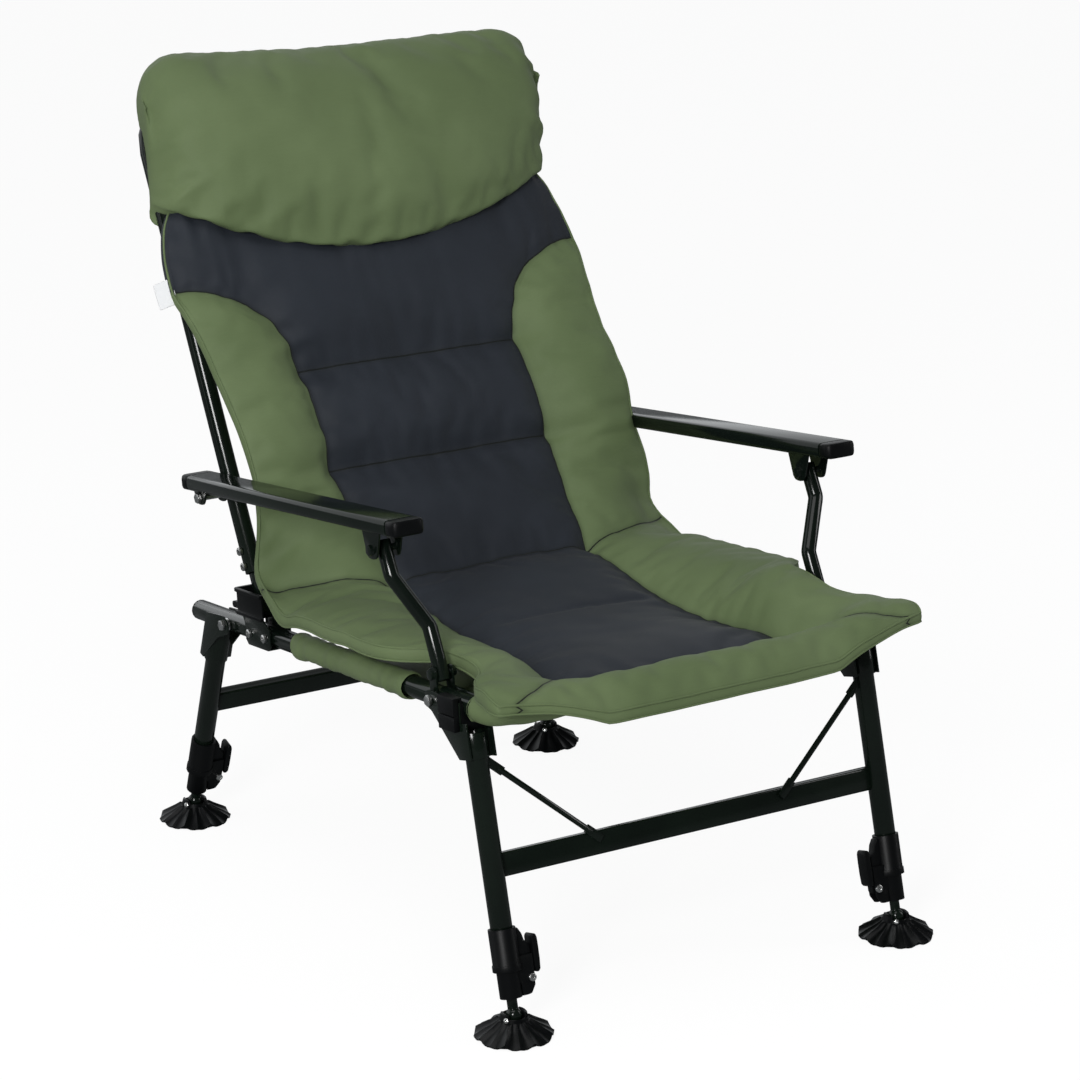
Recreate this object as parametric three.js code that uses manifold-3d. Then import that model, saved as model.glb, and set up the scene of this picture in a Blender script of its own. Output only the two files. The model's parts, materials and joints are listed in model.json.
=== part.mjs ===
// Folding carp fishing chair: steel tube frame, padded cover, swivel mud feet.
// Millimetres. +X is across the seat, +Y towards the rear, +Z up, and the floor is at Z = 0.
// Left means -X and right means +X, as seen from the front.

import * as THREE from 'three';
import { mergeVertices } from 'three/addons/utils/BufferGeometryUtils.js';
import Module from 'manifold-3d';

const wasm = await Module();
wasm.setup();

// Seat plane: the side tubes' axes lie in it, and it rises towards the front
const seatHeight = 323.5;
const seatTiltDegrees = 6;
const sideTubeX = 258;
const frameTubeRadius = 12.5;
const tubeWall = 1.5;
const seatRear = 361;
const seatFront = 352;
const seatCornerRadius = 46;

// Legs: where they hang on the side tubes and how they lean
const legX = 262;
const frontPivotReach = 239.3;
const frontLegOffset = 60.2;
const frontLeanDegrees = 15.1;
const rearPivotReach = 264.4;
const rearLegOffset = 30.5;
const rearLeanDegrees = 18.8;
const legTopDrop = 24.5;
const rearLegTopDrop = 13.2;
const clipFront = 63;

// Armrest linkage: a parallelogram of back, armrest, post and seat side
const backPivotReach = 188.2;
const postPivotReach = 236.15;
const pivotLineHeight = 27.4;
const linkLength = 148.7;
const reclineDegrees = 22.1;

// Clearances and boolean overrun
const seatingGap = 0.3;
const runningGap = 0.35;
const openPivotGap = 0.7;
const overrun = 3;

// Facets
const roundSides = 16;
const slimSides = 12;
const smallSides = 10;
const boltSides = 8;
const hexSides = 6;
const ballRings = 8;
const bendSteps = 5;
const cornerSteps = 3;

// Fasteners
const boltRadius = 4;
const smallBoltRadius = 3;
const boltHeadRadius = 6.6;
const boltHeadHeight = 4.4;
const smallHeadRadius = 5;
const smallHeadHeight = 3.4;

// Sheet metal
const plateThickness = 2;
const strapThickness = 2.2;

// Finishes: the photographed colours of each family of parts
const steel = new THREE.MeshStandardMaterial({ color: 0x232b27, roughness: 0.35, metalness: 0.5 });
const plastic = new THREE.MeshStandardMaterial({ color: 0x17181b, roughness: 0.5, metalness: 0 });
const zinc = new THREE.MeshStandardMaterial({ color: 0xbfc2c4, roughness: 0.3, metalness: 0.9 });
const greenFabric = new THREE.MeshStandardMaterial({ color: 0x66784e, roughness: 0.85, metalness: 0 });

const degrees = THREE.MathUtils.degToRad;
const point = (x, y, z) => new THREE.Vector3(x, y, z);

// Geometry helpers

// Signed volume of a closed mesh, negative when its faces point inwards
function signedVolume(geometry) {
  const place = geometry.attributes.position;
  const index = geometry.index;
  const [a, b, c] = [point(0, 0, 0), point(0, 0, 0), point(0, 0, 0)];
  let volume = 0;
  for (let i = 0; i < index.count; i += 3) {
    a.fromBufferAttribute(place, index.getX(i));
    b.fromBufferAttribute(place, index.getX(i + 1));
    c.fromBufferAttribute(place, index.getX(i + 2));
    volume += a.dot(b.cross(c));
  }
  return volume;
}

// Position-only mesh with shared vertices and its faces turned outwards
function welded(geometry) {
  const bare = geometry.clone();
  for (const name of Object.keys(bare.attributes)) {
    if (name !== 'position') bare.deleteAttribute(name);
  }
  const merged = mergeVertices(bare);
  if (signedVolume(merged) < 0) {
    const array = merged.index.array;
    for (let i = 0; i < array.length; i += 3) {
      [array[i], array[i + 1]] = [array[i + 1], array[i]];
    }
  }
  return merged;
}

function toSolid(geometry) {
  const mesh = welded(geometry);
  return new wasm.Manifold(new wasm.Mesh({
    numProp: 3,
    vertProperties: new Float32Array(mesh.attributes.position.array),
    triVerts: new Uint32Array(mesh.index.array),
  }));
}

function toGeometry(solid) {
  const mesh = solid.getMesh();
  const geometry = new THREE.BufferGeometry();
  geometry.setAttribute('position', new THREE.BufferAttribute(mesh.vertProperties, mesh.numProp));
  geometry.setIndex(new THREE.BufferAttribute(mesh.triVerts, 1));
  return geometry;
}

function join(...pieces) {
  return toGeometry(pieces.map(toSolid).reduce((whole, piece) => whole.add(piece)));
}

function cut(base, ...tools) {
  return toGeometry(tools.map(toSolid).reduce((whole, tool) => whole.subtract(tool), toSolid(base)));
}

function mirrored(geometry) {
  return welded(geometry.clone().scale(-1, 1, 1));
}

function moved(geometry, x, y, z) {
  return geometry.translate(x, y, z);
}

function block(xFrom, xTo, yFrom, yTo, zFrom, zTo) {
  const box = new THREE.BoxGeometry(xTo - xFrom, yTo - yFrom, zTo - zFrom);
  return moved(box, (xFrom + xTo) / 2, (yFrom + yTo) / 2, (zFrom + zTo) / 2);
}

// Round bar across the chair
function rodX(radius, xFrom, xTo, y, z, sides = smallSides) {
  const rod = new THREE.CylinderGeometry(radius, radius, xTo - xFrom, sides).rotateZ(-Math.PI / 2);
  return moved(rod, (xFrom + xTo) / 2, y, z);
}

function rodY(radius, yFrom, yTo, x, z, sides = smallSides) {
  const rod = new THREE.CylinderGeometry(radius, radius, yTo - yFrom, sides);
  return moved(rod, x, (yFrom + yTo) / 2, z);
}

function rodZ(radius, zFrom, zTo, x, y, sides = roundSides) {
  const rod = new THREE.CylinderGeometry(radius, radius, zTo - zFrom, sides).rotateX(Math.PI / 2);
  return moved(rod, x, y, (zFrom + zTo) / 2);
}

// Solid of revolution about a vertical axis from [radius, height] corners
function turned(corners, sides = roundSides) {
  const profile = corners.map(([radius, height]) => new THREE.Vector2(radius, height));
  return new THREE.LatheGeometry(profile, sides).rotateX(Math.PI / 2);
}

// Open pipe of revolution along Z
function sleeve(outer, inner, zFrom, zTo, x, y, sides = roundSides) {
  const ring = turned([[inner, zFrom], [outer, zFrom], [outer, zTo], [inner, zTo], [inner, zFrom]], sides);
  return moved(ring, x, y, 0);
}

// Bolt across the chair with a hexagon head at one end and a nut at the other
function boltX(radius, headRadius, headHeight, xFrom, xTo, y, z) {
  const grip = rodX(radius, xFrom - headHeight, xTo + headHeight, y, z, boltSides);
  const nut = rodX(headRadius, xFrom - headHeight, xFrom, y, z, hexSides);
  const head = rodX(headRadius, xTo, xTo + headHeight, y, z, hexSides);
  return join(grip, nut, head);
}

function extruded(outline, depth) {
  return new THREE.ExtrudeGeometry(outline, { depth, bevelEnabled: false, curveSegments: cornerSteps });
}

// Plate cut to a side-view outline of [y, z] corners and stood from xFrom to xTo
function sidePlate(outline, xFrom, xTo) {
  const plate = extruded(outline, xTo - xFrom);
  const turn = new THREE.Matrix4().makeBasis(point(0, 1, 0), point(0, 0, 1), point(1, 0, 0));
  return moved(plate.applyMatrix4(turn), xFrom, 0, 0);
}

// Plan-view outline of [x, y] corners raised from zFrom to zTo
function planPlate(outline, zFrom, zTo) {
  return moved(extruded(outline, zTo - zFrom), 0, 0, zFrom);
}

// Outline through corners, each rounded by its radius: [across, up, radius]
function roundedOutline(corners) {
  const outline = new THREE.Shape();
  corners.forEach(([x, y, radius], i) => {
    const before = corners[(i + corners.length - 1) % corners.length];
    const after = corners[(i + 1) % corners.length];
    const here = new THREE.Vector2(x, y);
    const back = new THREE.Vector2(before[0], before[1]).sub(here);
    const ahead = new THREE.Vector2(after[0], after[1]).sub(here);
    const angle = Math.abs(back.angle() - ahead.angle());
    const inside = Math.min(angle, 2 * Math.PI - angle);
    const reach = Math.min(radius / Math.tan(inside / 2), back.length() / 2, ahead.length() / 2);
    const start = here.clone().addScaledVector(back.normalize(), reach);
    const end = here.clone().addScaledVector(ahead.normalize(), reach);
    if (i === 0) outline.moveTo(start.x, start.y);
    else outline.lineTo(start.x, start.y);
    if (radius > 0) outline.quadraticCurveTo(x, y, end.x, end.y);
  });
  outline.closePath();
  return outline;
}

// A route through given stations, which an extrusion follows exactly
class Route extends THREE.Curve {
  constructor(stations) {
    super();
    this.stations = stations;
  }

  getPoint(share, target = new THREE.Vector3()) {
    const last = this.stations.length - 1;
    const at = Math.min(share * last, last);
    const index = Math.min(Math.floor(at), last - 1);
    return target.lerpVectors(this.stations[index], this.stations[index + 1], at - index);
  }

  getPointAt(share, target) {
    return this.getPoint(share, target);
  }

  getTangent(share, target = new THREE.Vector3()) {
    const last = this.stations.length - 1;
    const index = Math.round(share * last);
    const here = this.stations[index];
    const into = here.clone().sub(this.stations[Math.max(index - 1, 0)]).normalize();
    const out = this.stations[Math.min(index + 1, last)].clone().sub(here).normalize();
    return target.addVectors(into, out).normalize();
  }

  getTangentAt(share, target) {
    return this.getTangent(share, target);
  }
}

// Stations along straight runs with an arc at every inner corner
function bentStations(corners, bendRadius) {
  const stations = [corners[0]];
  for (let i = 1; i < corners.length - 1; i++) {
    const here = corners[i];
    const back = corners[i - 1].clone().sub(here).normalize();
    const ahead = corners[i + 1].clone().sub(here).normalize();
    const half = back.angleTo(ahead) / 2;
    const middle = back.clone().add(ahead).normalize();
    const centre = here.clone().addScaledVector(middle, bendRadius / Math.sin(half));
    const start = here.clone().addScaledVector(back, bendRadius / Math.tan(half)).sub(centre);
    const end = here.clone().addScaledVector(ahead, bendRadius / Math.tan(half)).sub(centre);
    const sweep = start.angleTo(end);
    for (let step = 0; step <= bendSteps; step++) {
      const share = step / bendSteps;
      const arm = start.clone().multiplyScalar(Math.sin((1 - share) * sweep) / Math.sin(sweep));
      arm.addScaledVector(end, Math.sin(share * sweep) / Math.sin(sweep));
      stations.push(centre.clone().add(arm));
    }
  }
  stations.push(corners[corners.length - 1]);
  return stations;
}

function circlePoints(radius, sides) {
  return Array.from({ length: sides }, (_, i) => {
    const angle = (2 * Math.PI * (i + 0.5)) / sides;
    return new THREE.Vector2(radius * Math.cos(angle), radius * Math.sin(angle));
  });
}

// Bent tube: solid, or hollow when an inner radius is given
function bentTube(stations, radius, sides = roundSides, inner = 0) {
  const section = new THREE.Shape(circlePoints(radius, sides));
  if (inner > 0) section.holes.push(new THREE.Path(circlePoints(inner, sides)));
  return new THREE.ExtrudeGeometry(section, { steps: stations.length - 1, extrudePath: new Route(stations) });
}

// Closed skin over rings of equal point counts, with a fan over each end ring
function skin(rings) {
  const count = rings[0].length;
  const places = rings.flat();
  const index = [];
  for (let r = 0; r < rings.length - 1; r++) {
    for (let i = 0; i < count; i++) {
      const a = r * count + i;
      const b = r * count + ((i + 1) % count);
      index.push(a, b, b + count, a, b + count, a + count);
    }
  }
  const firstRing = 0;
  const lastRing = (rings.length - 1) * count;
  for (const [start, flip] of [[firstRing, true], [lastRing, false]]) {
    const centre = point(0, 0, 0);
    for (let i = 0; i < count; i++) centre.addScaledVector(places[start + i], 1 / count);
    places.push(centre);
    const hub = places.length - 1;
    for (let i = 0; i < count; i++) {
      const a = start + i;
      const b = start + ((i + 1) % count);
      index.push(...(flip ? [hub, b, a] : [hub, a, b]));
    }
  }
  const geometry = new THREE.BufferGeometry().setFromPoints(places);
  geometry.setIndex(index);
  return welded(geometry);
}

// Scene graph helpers

function addMesh(group, name, geometry, material) {
  const mesh = new THREE.Mesh(geometry, material);
  mesh.name = name;
  group.add(mesh);
  return mesh;
}

// One right-hand piece and its mirror image
function addPair(group, name, geometry, material) {
  addMesh(group, `${name}_right`, welded(geometry), material);
  addMesh(group, `${name}_left`, mirrored(geometry), material);
}

function addGroup(parent, name, x, y, z, turn) {
  const group = new THREE.Group();
  group.name = name;
  group.position.set(x, y, z);
  group.rotation.x = turn;
  parent.add(group);
  return group;
}

const chair = new THREE.Group();
const seatTilt = degrees(seatTiltDegrees);
const seat = addGroup(chair, 'seat', 0, 0, seatHeight, -seatTilt);

// Seat frame: one bent tube with plugged ends
const plugDepth = 18;
const plugFlange = 2.4;
const plugSlotWidth = 7;
const bracketBoltReaches = [201, 162];

function makeSeatTube() {
  const corners = [
    point(-sideTubeX, seatRear, 0),
    point(-sideTubeX, -seatFront, 0),
    point(sideTubeX, -seatFront, 0),
    point(sideTubeX, seatRear, 0),
  ];
  const tube = bentTube(bentStations(corners, seatCornerRadius), frameTubeRadius);
  const holes = [];
  for (const side of [-1, 1]) {
    const axis = side * sideTubeX;
    const reach = frameTubeRadius + overrun;
    const bore = frameTubeRadius - tubeWall;
    holes.push(rodY(bore, seatRear - plugDepth, seatRear + overrun, axis, 0, roundSides));
    for (const y of [-frontPivotReach, rearPivotReach]) {
      holes.push(rodX(boltRadius + runningGap, axis - reach, axis + reach, y, 0, boltSides));
    }
    for (const y of bracketBoltReaches) {
      holes.push(rodX(smallBoltRadius + runningGap, axis - reach, axis + reach, y, 0, boltSides));
    }
  }
  return cut(tube, ...holes);
}

function makeTubePlug() {
  const stem = frameTubeRadius - tubeWall - seatingGap;
  const body = rodY(stem, seatRear - plugDepth + seatingGap, seatRear + seatingGap, sideTubeX, 0, roundSides);
  const rim = rodY(frameTubeRadius, seatRear + seatingGap, seatRear + plugFlange, sideTubeX, 0, roundSides);
  const slot = block(
    sideTubeX - plugSlotWidth / 2, sideTubeX + plugSlotWidth / 2,
    seatRear - plugDepth / 2, seatRear + plugFlange + overrun,
    -plugSlotWidth, plugSlotWidth,
  );
  return cut(join(body, rim), slot);
}

addMesh(seat, 'seat_tube', makeSeatTube(), steel);
addPair(seat, 'tube_plug', makeTubePlug(), plastic);

// Recliner: a folded steel saddle on the side tube, boxed in by a plastic housing
const saddleInner = frameTubeRadius + seatingGap;
const saddleOuter = saddleInner + plateThickness;
const saddleFront = 150;
const saddleRear = 213;
const saddleDrop = saddleOuter;
const saddleChamfer = 6;
const saddleShoulder = 11;
const cheekFront = 166;
const cheekRear = 219;
const cheekTop = 41;
const cheekRadius = 13;
const housingFront = 160;
const housingRear = 227;
const housingWall = 2.6;
const housingBottom = 21;
const housingTop = 53;
const housingRim = 2.4;
const housingRimHeight = 4.4;
const housingCorner = 5;
const releasePivotReach = 213;
const releasePivotHeight = 25;
const releaseAxleRadius = 3;
const releaseHubRadius = 5;
const releaseWidth = 10;
const releaseThickness = 8;
const releaseReach = 50;
const releaseSlotMargin = 4;

function makeRecliner() {
  const profile = roundedOutline([
    [saddleFront + saddleChamfer, -saddleDrop, 0],
    [saddleRear - saddleChamfer, -saddleDrop, 0],
    [saddleRear, -saddleDrop + saddleChamfer, 0],
    [saddleRear, saddleShoulder, 0],
    [cheekRear, housingBottom, 0],
    [cheekRear, cheekTop - cheekRadius, 0],
    [backPivotReach + cheekRadius, cheekTop, cheekRadius],
    [backPivotReach - cheekRadius, cheekTop, cheekRadius],
    [cheekFront, housingBottom, 0],
    [saddleFront, saddleShoulder, 0],
    [saddleFront, -saddleDrop + saddleChamfer, 0],
  ]);
  const cheeks = [
    sidePlate(profile, sideTubeX - saddleOuter, sideTubeX - saddleInner),
    sidePlate(profile, sideTubeX + saddleInner, sideTubeX + saddleOuter),
  ];
  const web = block(
    sideTubeX - saddleOuter, sideTubeX + saddleOuter,
    saddleFront + saddleChamfer, saddleRear - saddleChamfer,
    -saddleOuter, -saddleInner,
  );
  const bolts = bracketBoltReaches.map((y) => boltX(
    smallBoltRadius, smallHeadRadius, smallHeadHeight,
    sideTubeX - saddleOuter, sideTubeX + saddleOuter, y, 0,
  ));
  const pin = rodX(
    boltRadius, sideTubeX - saddleOuter, sideTubeX + saddleOuter,
    backPivotReach, pivotLineHeight,
  );
  const releaseHole = rodX(
    releaseAxleRadius + runningGap, sideTubeX - saddleOuter - overrun, sideTubeX + saddleOuter + overrun,
    releasePivotReach, releasePivotHeight,
  );
  return join(cut(join(...cheeks, web), releaseHole), pin, ...bolts);
}

// Three-sided box open towards the front, with a rim round its top and bottom
function makeHousing() {
  const inner = saddleOuter + seatingGap;
  const channel = (grow) => {
    const outer = inner + housingWall + grow;
    const corner = housingCorner + grow;
    return roundedOutline([
      [sideTubeX - outer, housingFront, 0],
      [sideTubeX - inner, housingFront, 0],
      [sideTubeX - inner, housingRear - housingWall, 0],
      [sideTubeX + inner, housingRear - housingWall, 0],
      [sideTubeX + inner, housingFront, 0],
      [sideTubeX + outer, housingFront, 0],
      [sideTubeX + outer, housingRear + grow, corner],
      [sideTubeX - outer, housingRear + grow, corner],
    ]);
  };
  const walls = planPlate(channel(0), housingBottom, housingTop);
  const lower = planPlate(channel(housingRim), housingBottom, housingBottom + housingRimHeight);
  const upper = planPlate(channel(housingRim), housingTop - housingRimHeight, housingTop);
  const halfSlot = releaseWidth / 2 + seatingGap;
  const slotLow = releasePivotHeight - releaseThickness / 2 - seatingGap;
  const slotHigh = releasePivotHeight + releaseThickness / 2 + releaseSlotMargin;
  const slot = block(
    sideTubeX - halfSlot, sideTubeX + halfSlot,
    housingRear - housingWall - overrun, housingRear + housingRim + overrun,
    slotLow, slotHigh,
  );
  return cut(join(walls, lower, upper), slot);
}

// Release lever, drawn about its own axle
function makeReleaseLever() {
  const axle = rodX(releaseAxleRadius, -saddleOuter, saddleOuter, 0, 0);
  const hub = rodX(releaseHubRadius, -releaseWidth / 2, releaseWidth / 2, 0, 0);
  const arm = sidePlate(roundedOutline([
    [0, -releaseThickness / 2, 0],
    [releaseReach, -releaseThickness / 2, releaseThickness / 2],
    [releaseReach, releaseThickness / 2, releaseThickness / 2],
    [0, releaseThickness / 2, 0],
  ]), -releaseWidth / 2, releaseWidth / 2);
  return join(axle, hub, arm);
}

addPair(seat, 'recliner_bracket', makeRecliner(), steel);
addPair(seat, 'recliner_housing', makeHousing(), plastic);
for (const [name, side] of [['right', 1], ['left', -1]]) {
  const lever = addGroup(seat, `release_${name}`, side * sideTubeX, releasePivotReach, releasePivotHeight, 0);
  addMesh(lever, `release_lever_${name}`, makeReleaseLever(), plastic);
}

// Ears that carry the armrest post on the side tube
const postRadius = 9;
const earGap = 0.5;
const earInner = postRadius + earGap;
const earWidth = 15;
const earTopRadius = 8.5;

function makePostEar() {
  const top = pivotLineHeight + earTopRadius;
  const outline = roundedOutline([
    [-postPivotReach - earWidth / 2, 0, 0],
    [-postPivotReach + earWidth / 2, 0, 0],
    [-postPivotReach + earWidth / 2, top, earTopRadius],
    [-postPivotReach - earWidth / 2, top, earTopRadius],
  ]);
  const straps = [
    sidePlate(outline, sideTubeX - earInner - strapThickness, sideTubeX - earInner),
    sidePlate(outline, sideTubeX + earInner, sideTubeX + earInner + strapThickness),
  ];
  const tube = rodY(
    frameTubeRadius + seatingGap, -postPivotReach - earWidth, -postPivotReach + earWidth,
    sideTubeX, 0, roundSides,
  );
  const bolt = boltX(
    boltRadius, boltHeadRadius, boltHeadHeight,
    sideTubeX - earInner - strapThickness, sideTubeX + earInner + strapThickness,
    -postPivotReach, pivotLineHeight,
  );
  return join(cut(straps[0], tube), cut(straps[1], tube), bolt);
}

addPair(seat, 'post_ear', makePostEar(), steel);

// Sling: the fabric web under the cushion, sewn into sleeves round the tubes
const fabricThickness = 1.7;
const sleeveInner = frameTubeRadius + seatingGap;
const sleeveOuter = sleeveInner + fabricThickness;
const sideSleeveRear = 97;
const sideSleeveFront = 170;
const sleeveClipGap = 5.7;
const frontSleeveReach = frontPivotReach + clipFront + sleeveClipGap;
const webHalfWidthFront = 238;
const frontWebGap = 1;

function makeSideSling() {
  const pieces = [block(
    -sideTubeX, sideTubeX, -sideSleeveFront, sideSleeveRear,
    -sleeveOuter, -sleeveInner,
  )];
  for (const side of [-1, 1]) {
    const ring = sleeve(sleeveOuter, sleeveInner, -sideSleeveRear, sideSleeveFront, 0, 0).rotateX(Math.PI / 2);
    pieces.push(moved(ring, side * sideTubeX, 0, 0));
  }
  return join(...pieces);
}

function makeFrontSleeve() {
  const corners = [
    point(-sideTubeX, -frontSleeveReach, 0),
    point(-sideTubeX, -seatFront, 0),
    point(sideTubeX, -seatFront, 0),
    point(sideTubeX, -frontSleeveReach, 0),
  ];
  const whole = [point(-sideTubeX, 0, 0), corners[1], corners[2], point(sideTubeX, 0, 0)];
  const pocket = bentTube(bentStations(whole, seatCornerRadius), sleeveOuter, roundSides, sleeveInner);
  const behind = block(
    -sideTubeX - sleeveOuter - overrun, sideTubeX + sleeveOuter + overrun,
    -frontSleeveReach, sleeveOuter,
    -sleeveOuter - overrun, sleeveOuter + overrun,
  );
  const web = block(
    -webHalfWidthFront, webHalfWidthFront,
    -seatFront, -sideSleeveFront - frontWebGap,
    -sleeveOuter, -sleeveInner,
  );
  return join(cut(pocket, behind), web);
}

addMesh(seat, 'seat_sling', makeSideSling(), greenFabric);
addMesh(seat, 'front_sleeve', makeFrontSleeve(), greenFabric);

// Legs: a tube with folded gusset plates, a crossbar and two sliding ends
const gussetInner = -frameTubeRadius - seatingGap;
const gussetOuter = legX - sideTubeX + frameTubeRadius + seatingGap;
const pivotRoundRadius = 11.5;
const frontGussetTop = 8.5;
const frontGussetShare = 0.35;
const rearGussetTop = 9;
const rearGussetShare = 0.506;
const rearGussetFront = 10;
const rearGussetShoulder = 26;
const wrapRadius = frameTubeRadius + plateThickness;
const crossbarDepth = 15;
const crossbarHeight = 27;
const crossbarCorner = 3;
const crossbarBehind = 4.4;
const frontCrossbarRise = 165.6;
const rearCrossbarRise = 153.3;
const braceRadius = 3.5;
const braceTopShare = 0.4;
const braceTopX = 247;
const braceFootX = 128;
const braceTabLength = 16;
const braceTabWidth = 10;
const braceTabThickness = 2.4;
const spacerRadius = 8;

// Leg ends: clamp, cam lever, extension tube with ball, and mud foot
const ballHeight = 24;
const ballRadius = 9.5;
const extensionRadius = 10.2;
const extensionLength = 150;
const extensionLowEnd = 22;
const stemRadius = 6;
const clampBottom = 19.7;
const clampStep = 50;
const clampBandTop = 57;
const clampTop = 97.4;
const clampUpperRadius = 15.6;
const clampLowerRadius = 12.8;
const clampBandRadius = 16.6;
const legLowEnd = 58;
const lugReach = 29;
const lugHalfWidth = 8;
const lugSlotHalfWidth = 4.4;
const lugBottom = 34.6;
const lugTop = 64;
const camReach = 25;
const camHeight = 38;
const camRadius = 6.4;
const camPinRadius = 2.5;
const camPinHeadRadius = 4;
const leverTop = 85;
const leverBottom = 31;
const leverGap = 1.5;
const leverThickness = 6;
const leverHalfWidth = 9;
const leverLip = 4;
const footRadius = 46.5;
const footRim = 2.6;
const footWall = 3.2;
const footHubRadius = 13.5;
const footHubTop = 29.4;
const footShoulderRadius = 30;
const footShoulderHeight = 14;
const footLobes = 8;
const footLobeDepth = 2.6;
const footSegments = 24;
const socketRadius = (ballRadius + seatingGap) / Math.cos(Math.PI / smallSides) ** 2;

// Side-view outline in a leg's own frame of a line that lies in the seat plane's direction
function seatLine(lean, reach, height) {
  const turn = lean - seatTilt;
  return [
    reach * Math.cos(turn) - height * Math.sin(turn),
    reach * Math.sin(turn) + height * Math.cos(turn),
  ];
}

// Gusset outline: round the pivot, along the seat tube, down the leg and back
function frontGussetOutline(lean, length) {
  const front = -frontLegOffset - frameTubeRadius;
  const back = -frontLegOffset + frameTubeRadius;
  const topRear = seatLine(lean, 0, pivotRoundRadius);
  const topFront = seatLine(lean, -clipFront, frontGussetTop);
  const underFront = seatLine(lean, -clipFront, -sleeveOuter - seatingGap);
  return roundedOutline([
    [pivotRoundRadius, -pivotRoundRadius / 2, pivotRoundRadius],
    [topRear[0] + pivotRoundRadius, topRear[1], pivotRoundRadius],
    [topRear[0], topRear[1], 0],
    [topFront[0], topFront[1], 0],
    [underFront[0], underFront[1], 0],
    [front, underFront[1], 0],
    [front, -length, 0],
    [back, -length, 0],
    [0, -pivotRoundRadius, pivotRoundRadius],
  ]);
}

function rearGussetOutline(lean, length) {
  const back = rearLegOffset + wrapRadius;
  const topFront = seatLine(lean, 0, pivotRoundRadius);
  const topRear = seatLine(lean, back, rearGussetTop);
  return roundedOutline([
    [-pivotRoundRadius, -pivotRoundRadius / 2, pivotRoundRadius],
    [rearGussetFront, -rearGussetShoulder, 0],
    [rearLegOffset + frameTubeRadius / 2, -length, 0],
    [back, -length, 0],
    [back, topRear[1], 0],
    [topFront[0], topFront[1], pivotRoundRadius],
    [-pivotRoundRadius, pivotRoundRadius / 2, pivotRoundRadius],
  ]);
}

// Height, along the leg, of the ball that puts the foot on the floor
function ballDrop(pivotReach, offset, lean) {
  const pivotZ = seatHeight - pivotReach * Math.sin(seatTilt);
  return (ballHeight - pivotZ - offset * Math.sin(lean)) / Math.cos(lean);
}

// Everything above the seat tube's underside, in a leg's own frame
function aboveSeatTube(lean, drop) {
  const wide = frontPivotReach + legX;
  const slab = block(-wide + legX, wide + legX, -wide, wide, -drop, wide);
  return slab.rotateX(-(lean + seatTilt));
}

function makeLeg(settings) {
  const { offset, lean, low, topDrop, outline, gussetLength } = settings;
  const tube = cut(
    sleeve(frameTubeRadius, frameTubeRadius - tubeWall, low + legLowEnd, pivotRoundRadius, legX, offset),
    aboveSeatTube(lean, topDrop),
  );
  const plates = [
    sidePlate(outline, sideTubeX + gussetInner - plateThickness, sideTubeX + gussetInner),
    sidePlate(outline, sideTubeX + gussetOuter, sideTubeX + gussetOuter + plateThickness),
  ];
  const wrapLow = -gussetLength;
  const wrapHigh = -gussetLength / 3;
  const wrap = sleeve(wrapRadius, frameTubeRadius - tubeWall / 2, wrapLow, wrapHigh, legX, offset);
  const inner = sideTubeX + gussetInner - plateThickness;
  const bridgeTop = wrapHigh;
  const bridge = block(
    inner, legX, offset - frameTubeRadius / 3, offset + frameTubeRadius / 3, wrapLow, bridgeTop,
  );
  const bore = rodZ(frameTubeRadius - tubeWall, low, pivotRoundRadius, legX, offset);
  const hole = rodX(
    boltRadius + runningGap, inner - overrun, sideTubeX + gussetOuter + plateThickness + overrun,
    0, 0, boltSides,
  );
  const skirt = cut(join(wrap, bridge), bore, aboveSeatTube(lean, topDrop));
  return cut(join(tube, skirt, ...plates), hole);
}

function makePivotBolt() {
  const inner = sideTubeX + gussetInner - plateThickness - seatingGap;
  const outer = sideTubeX + gussetOuter + plateThickness + seatingGap;
  const spacerFrom = sideTubeX + frameTubeRadius + seatingGap;
  const spacer = rodX(spacerRadius, spacerFrom, sideTubeX + gussetOuter - seatingGap, 0, 0);
  return join(boltX(boltRadius, boltHeadRadius, boltHeadHeight, inner, outer, 0, 0), spacer);
}

function makeCrossbar(offset, drop) {
  const y = offset + crossbarBehind;
  const bar = sidePlate(roundedOutline([
    [y - crossbarDepth / 2, -drop - crossbarHeight / 2, crossbarCorner],
    [y + crossbarDepth / 2, -drop - crossbarHeight / 2, crossbarCorner],
    [y + crossbarDepth / 2, -drop + crossbarHeight / 2, crossbarCorner],
    [y - crossbarDepth / 2, -drop + crossbarHeight / 2, crossbarCorner],
  ]), -legX, legX);
  const legs = [-1, 1].map((side) => rodZ(
    frameTubeRadius + seatingGap, -drop - crossbarHeight, -drop + crossbarHeight, side * legX, offset,
  ));
  return cut(bar, ...legs);
}

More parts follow.
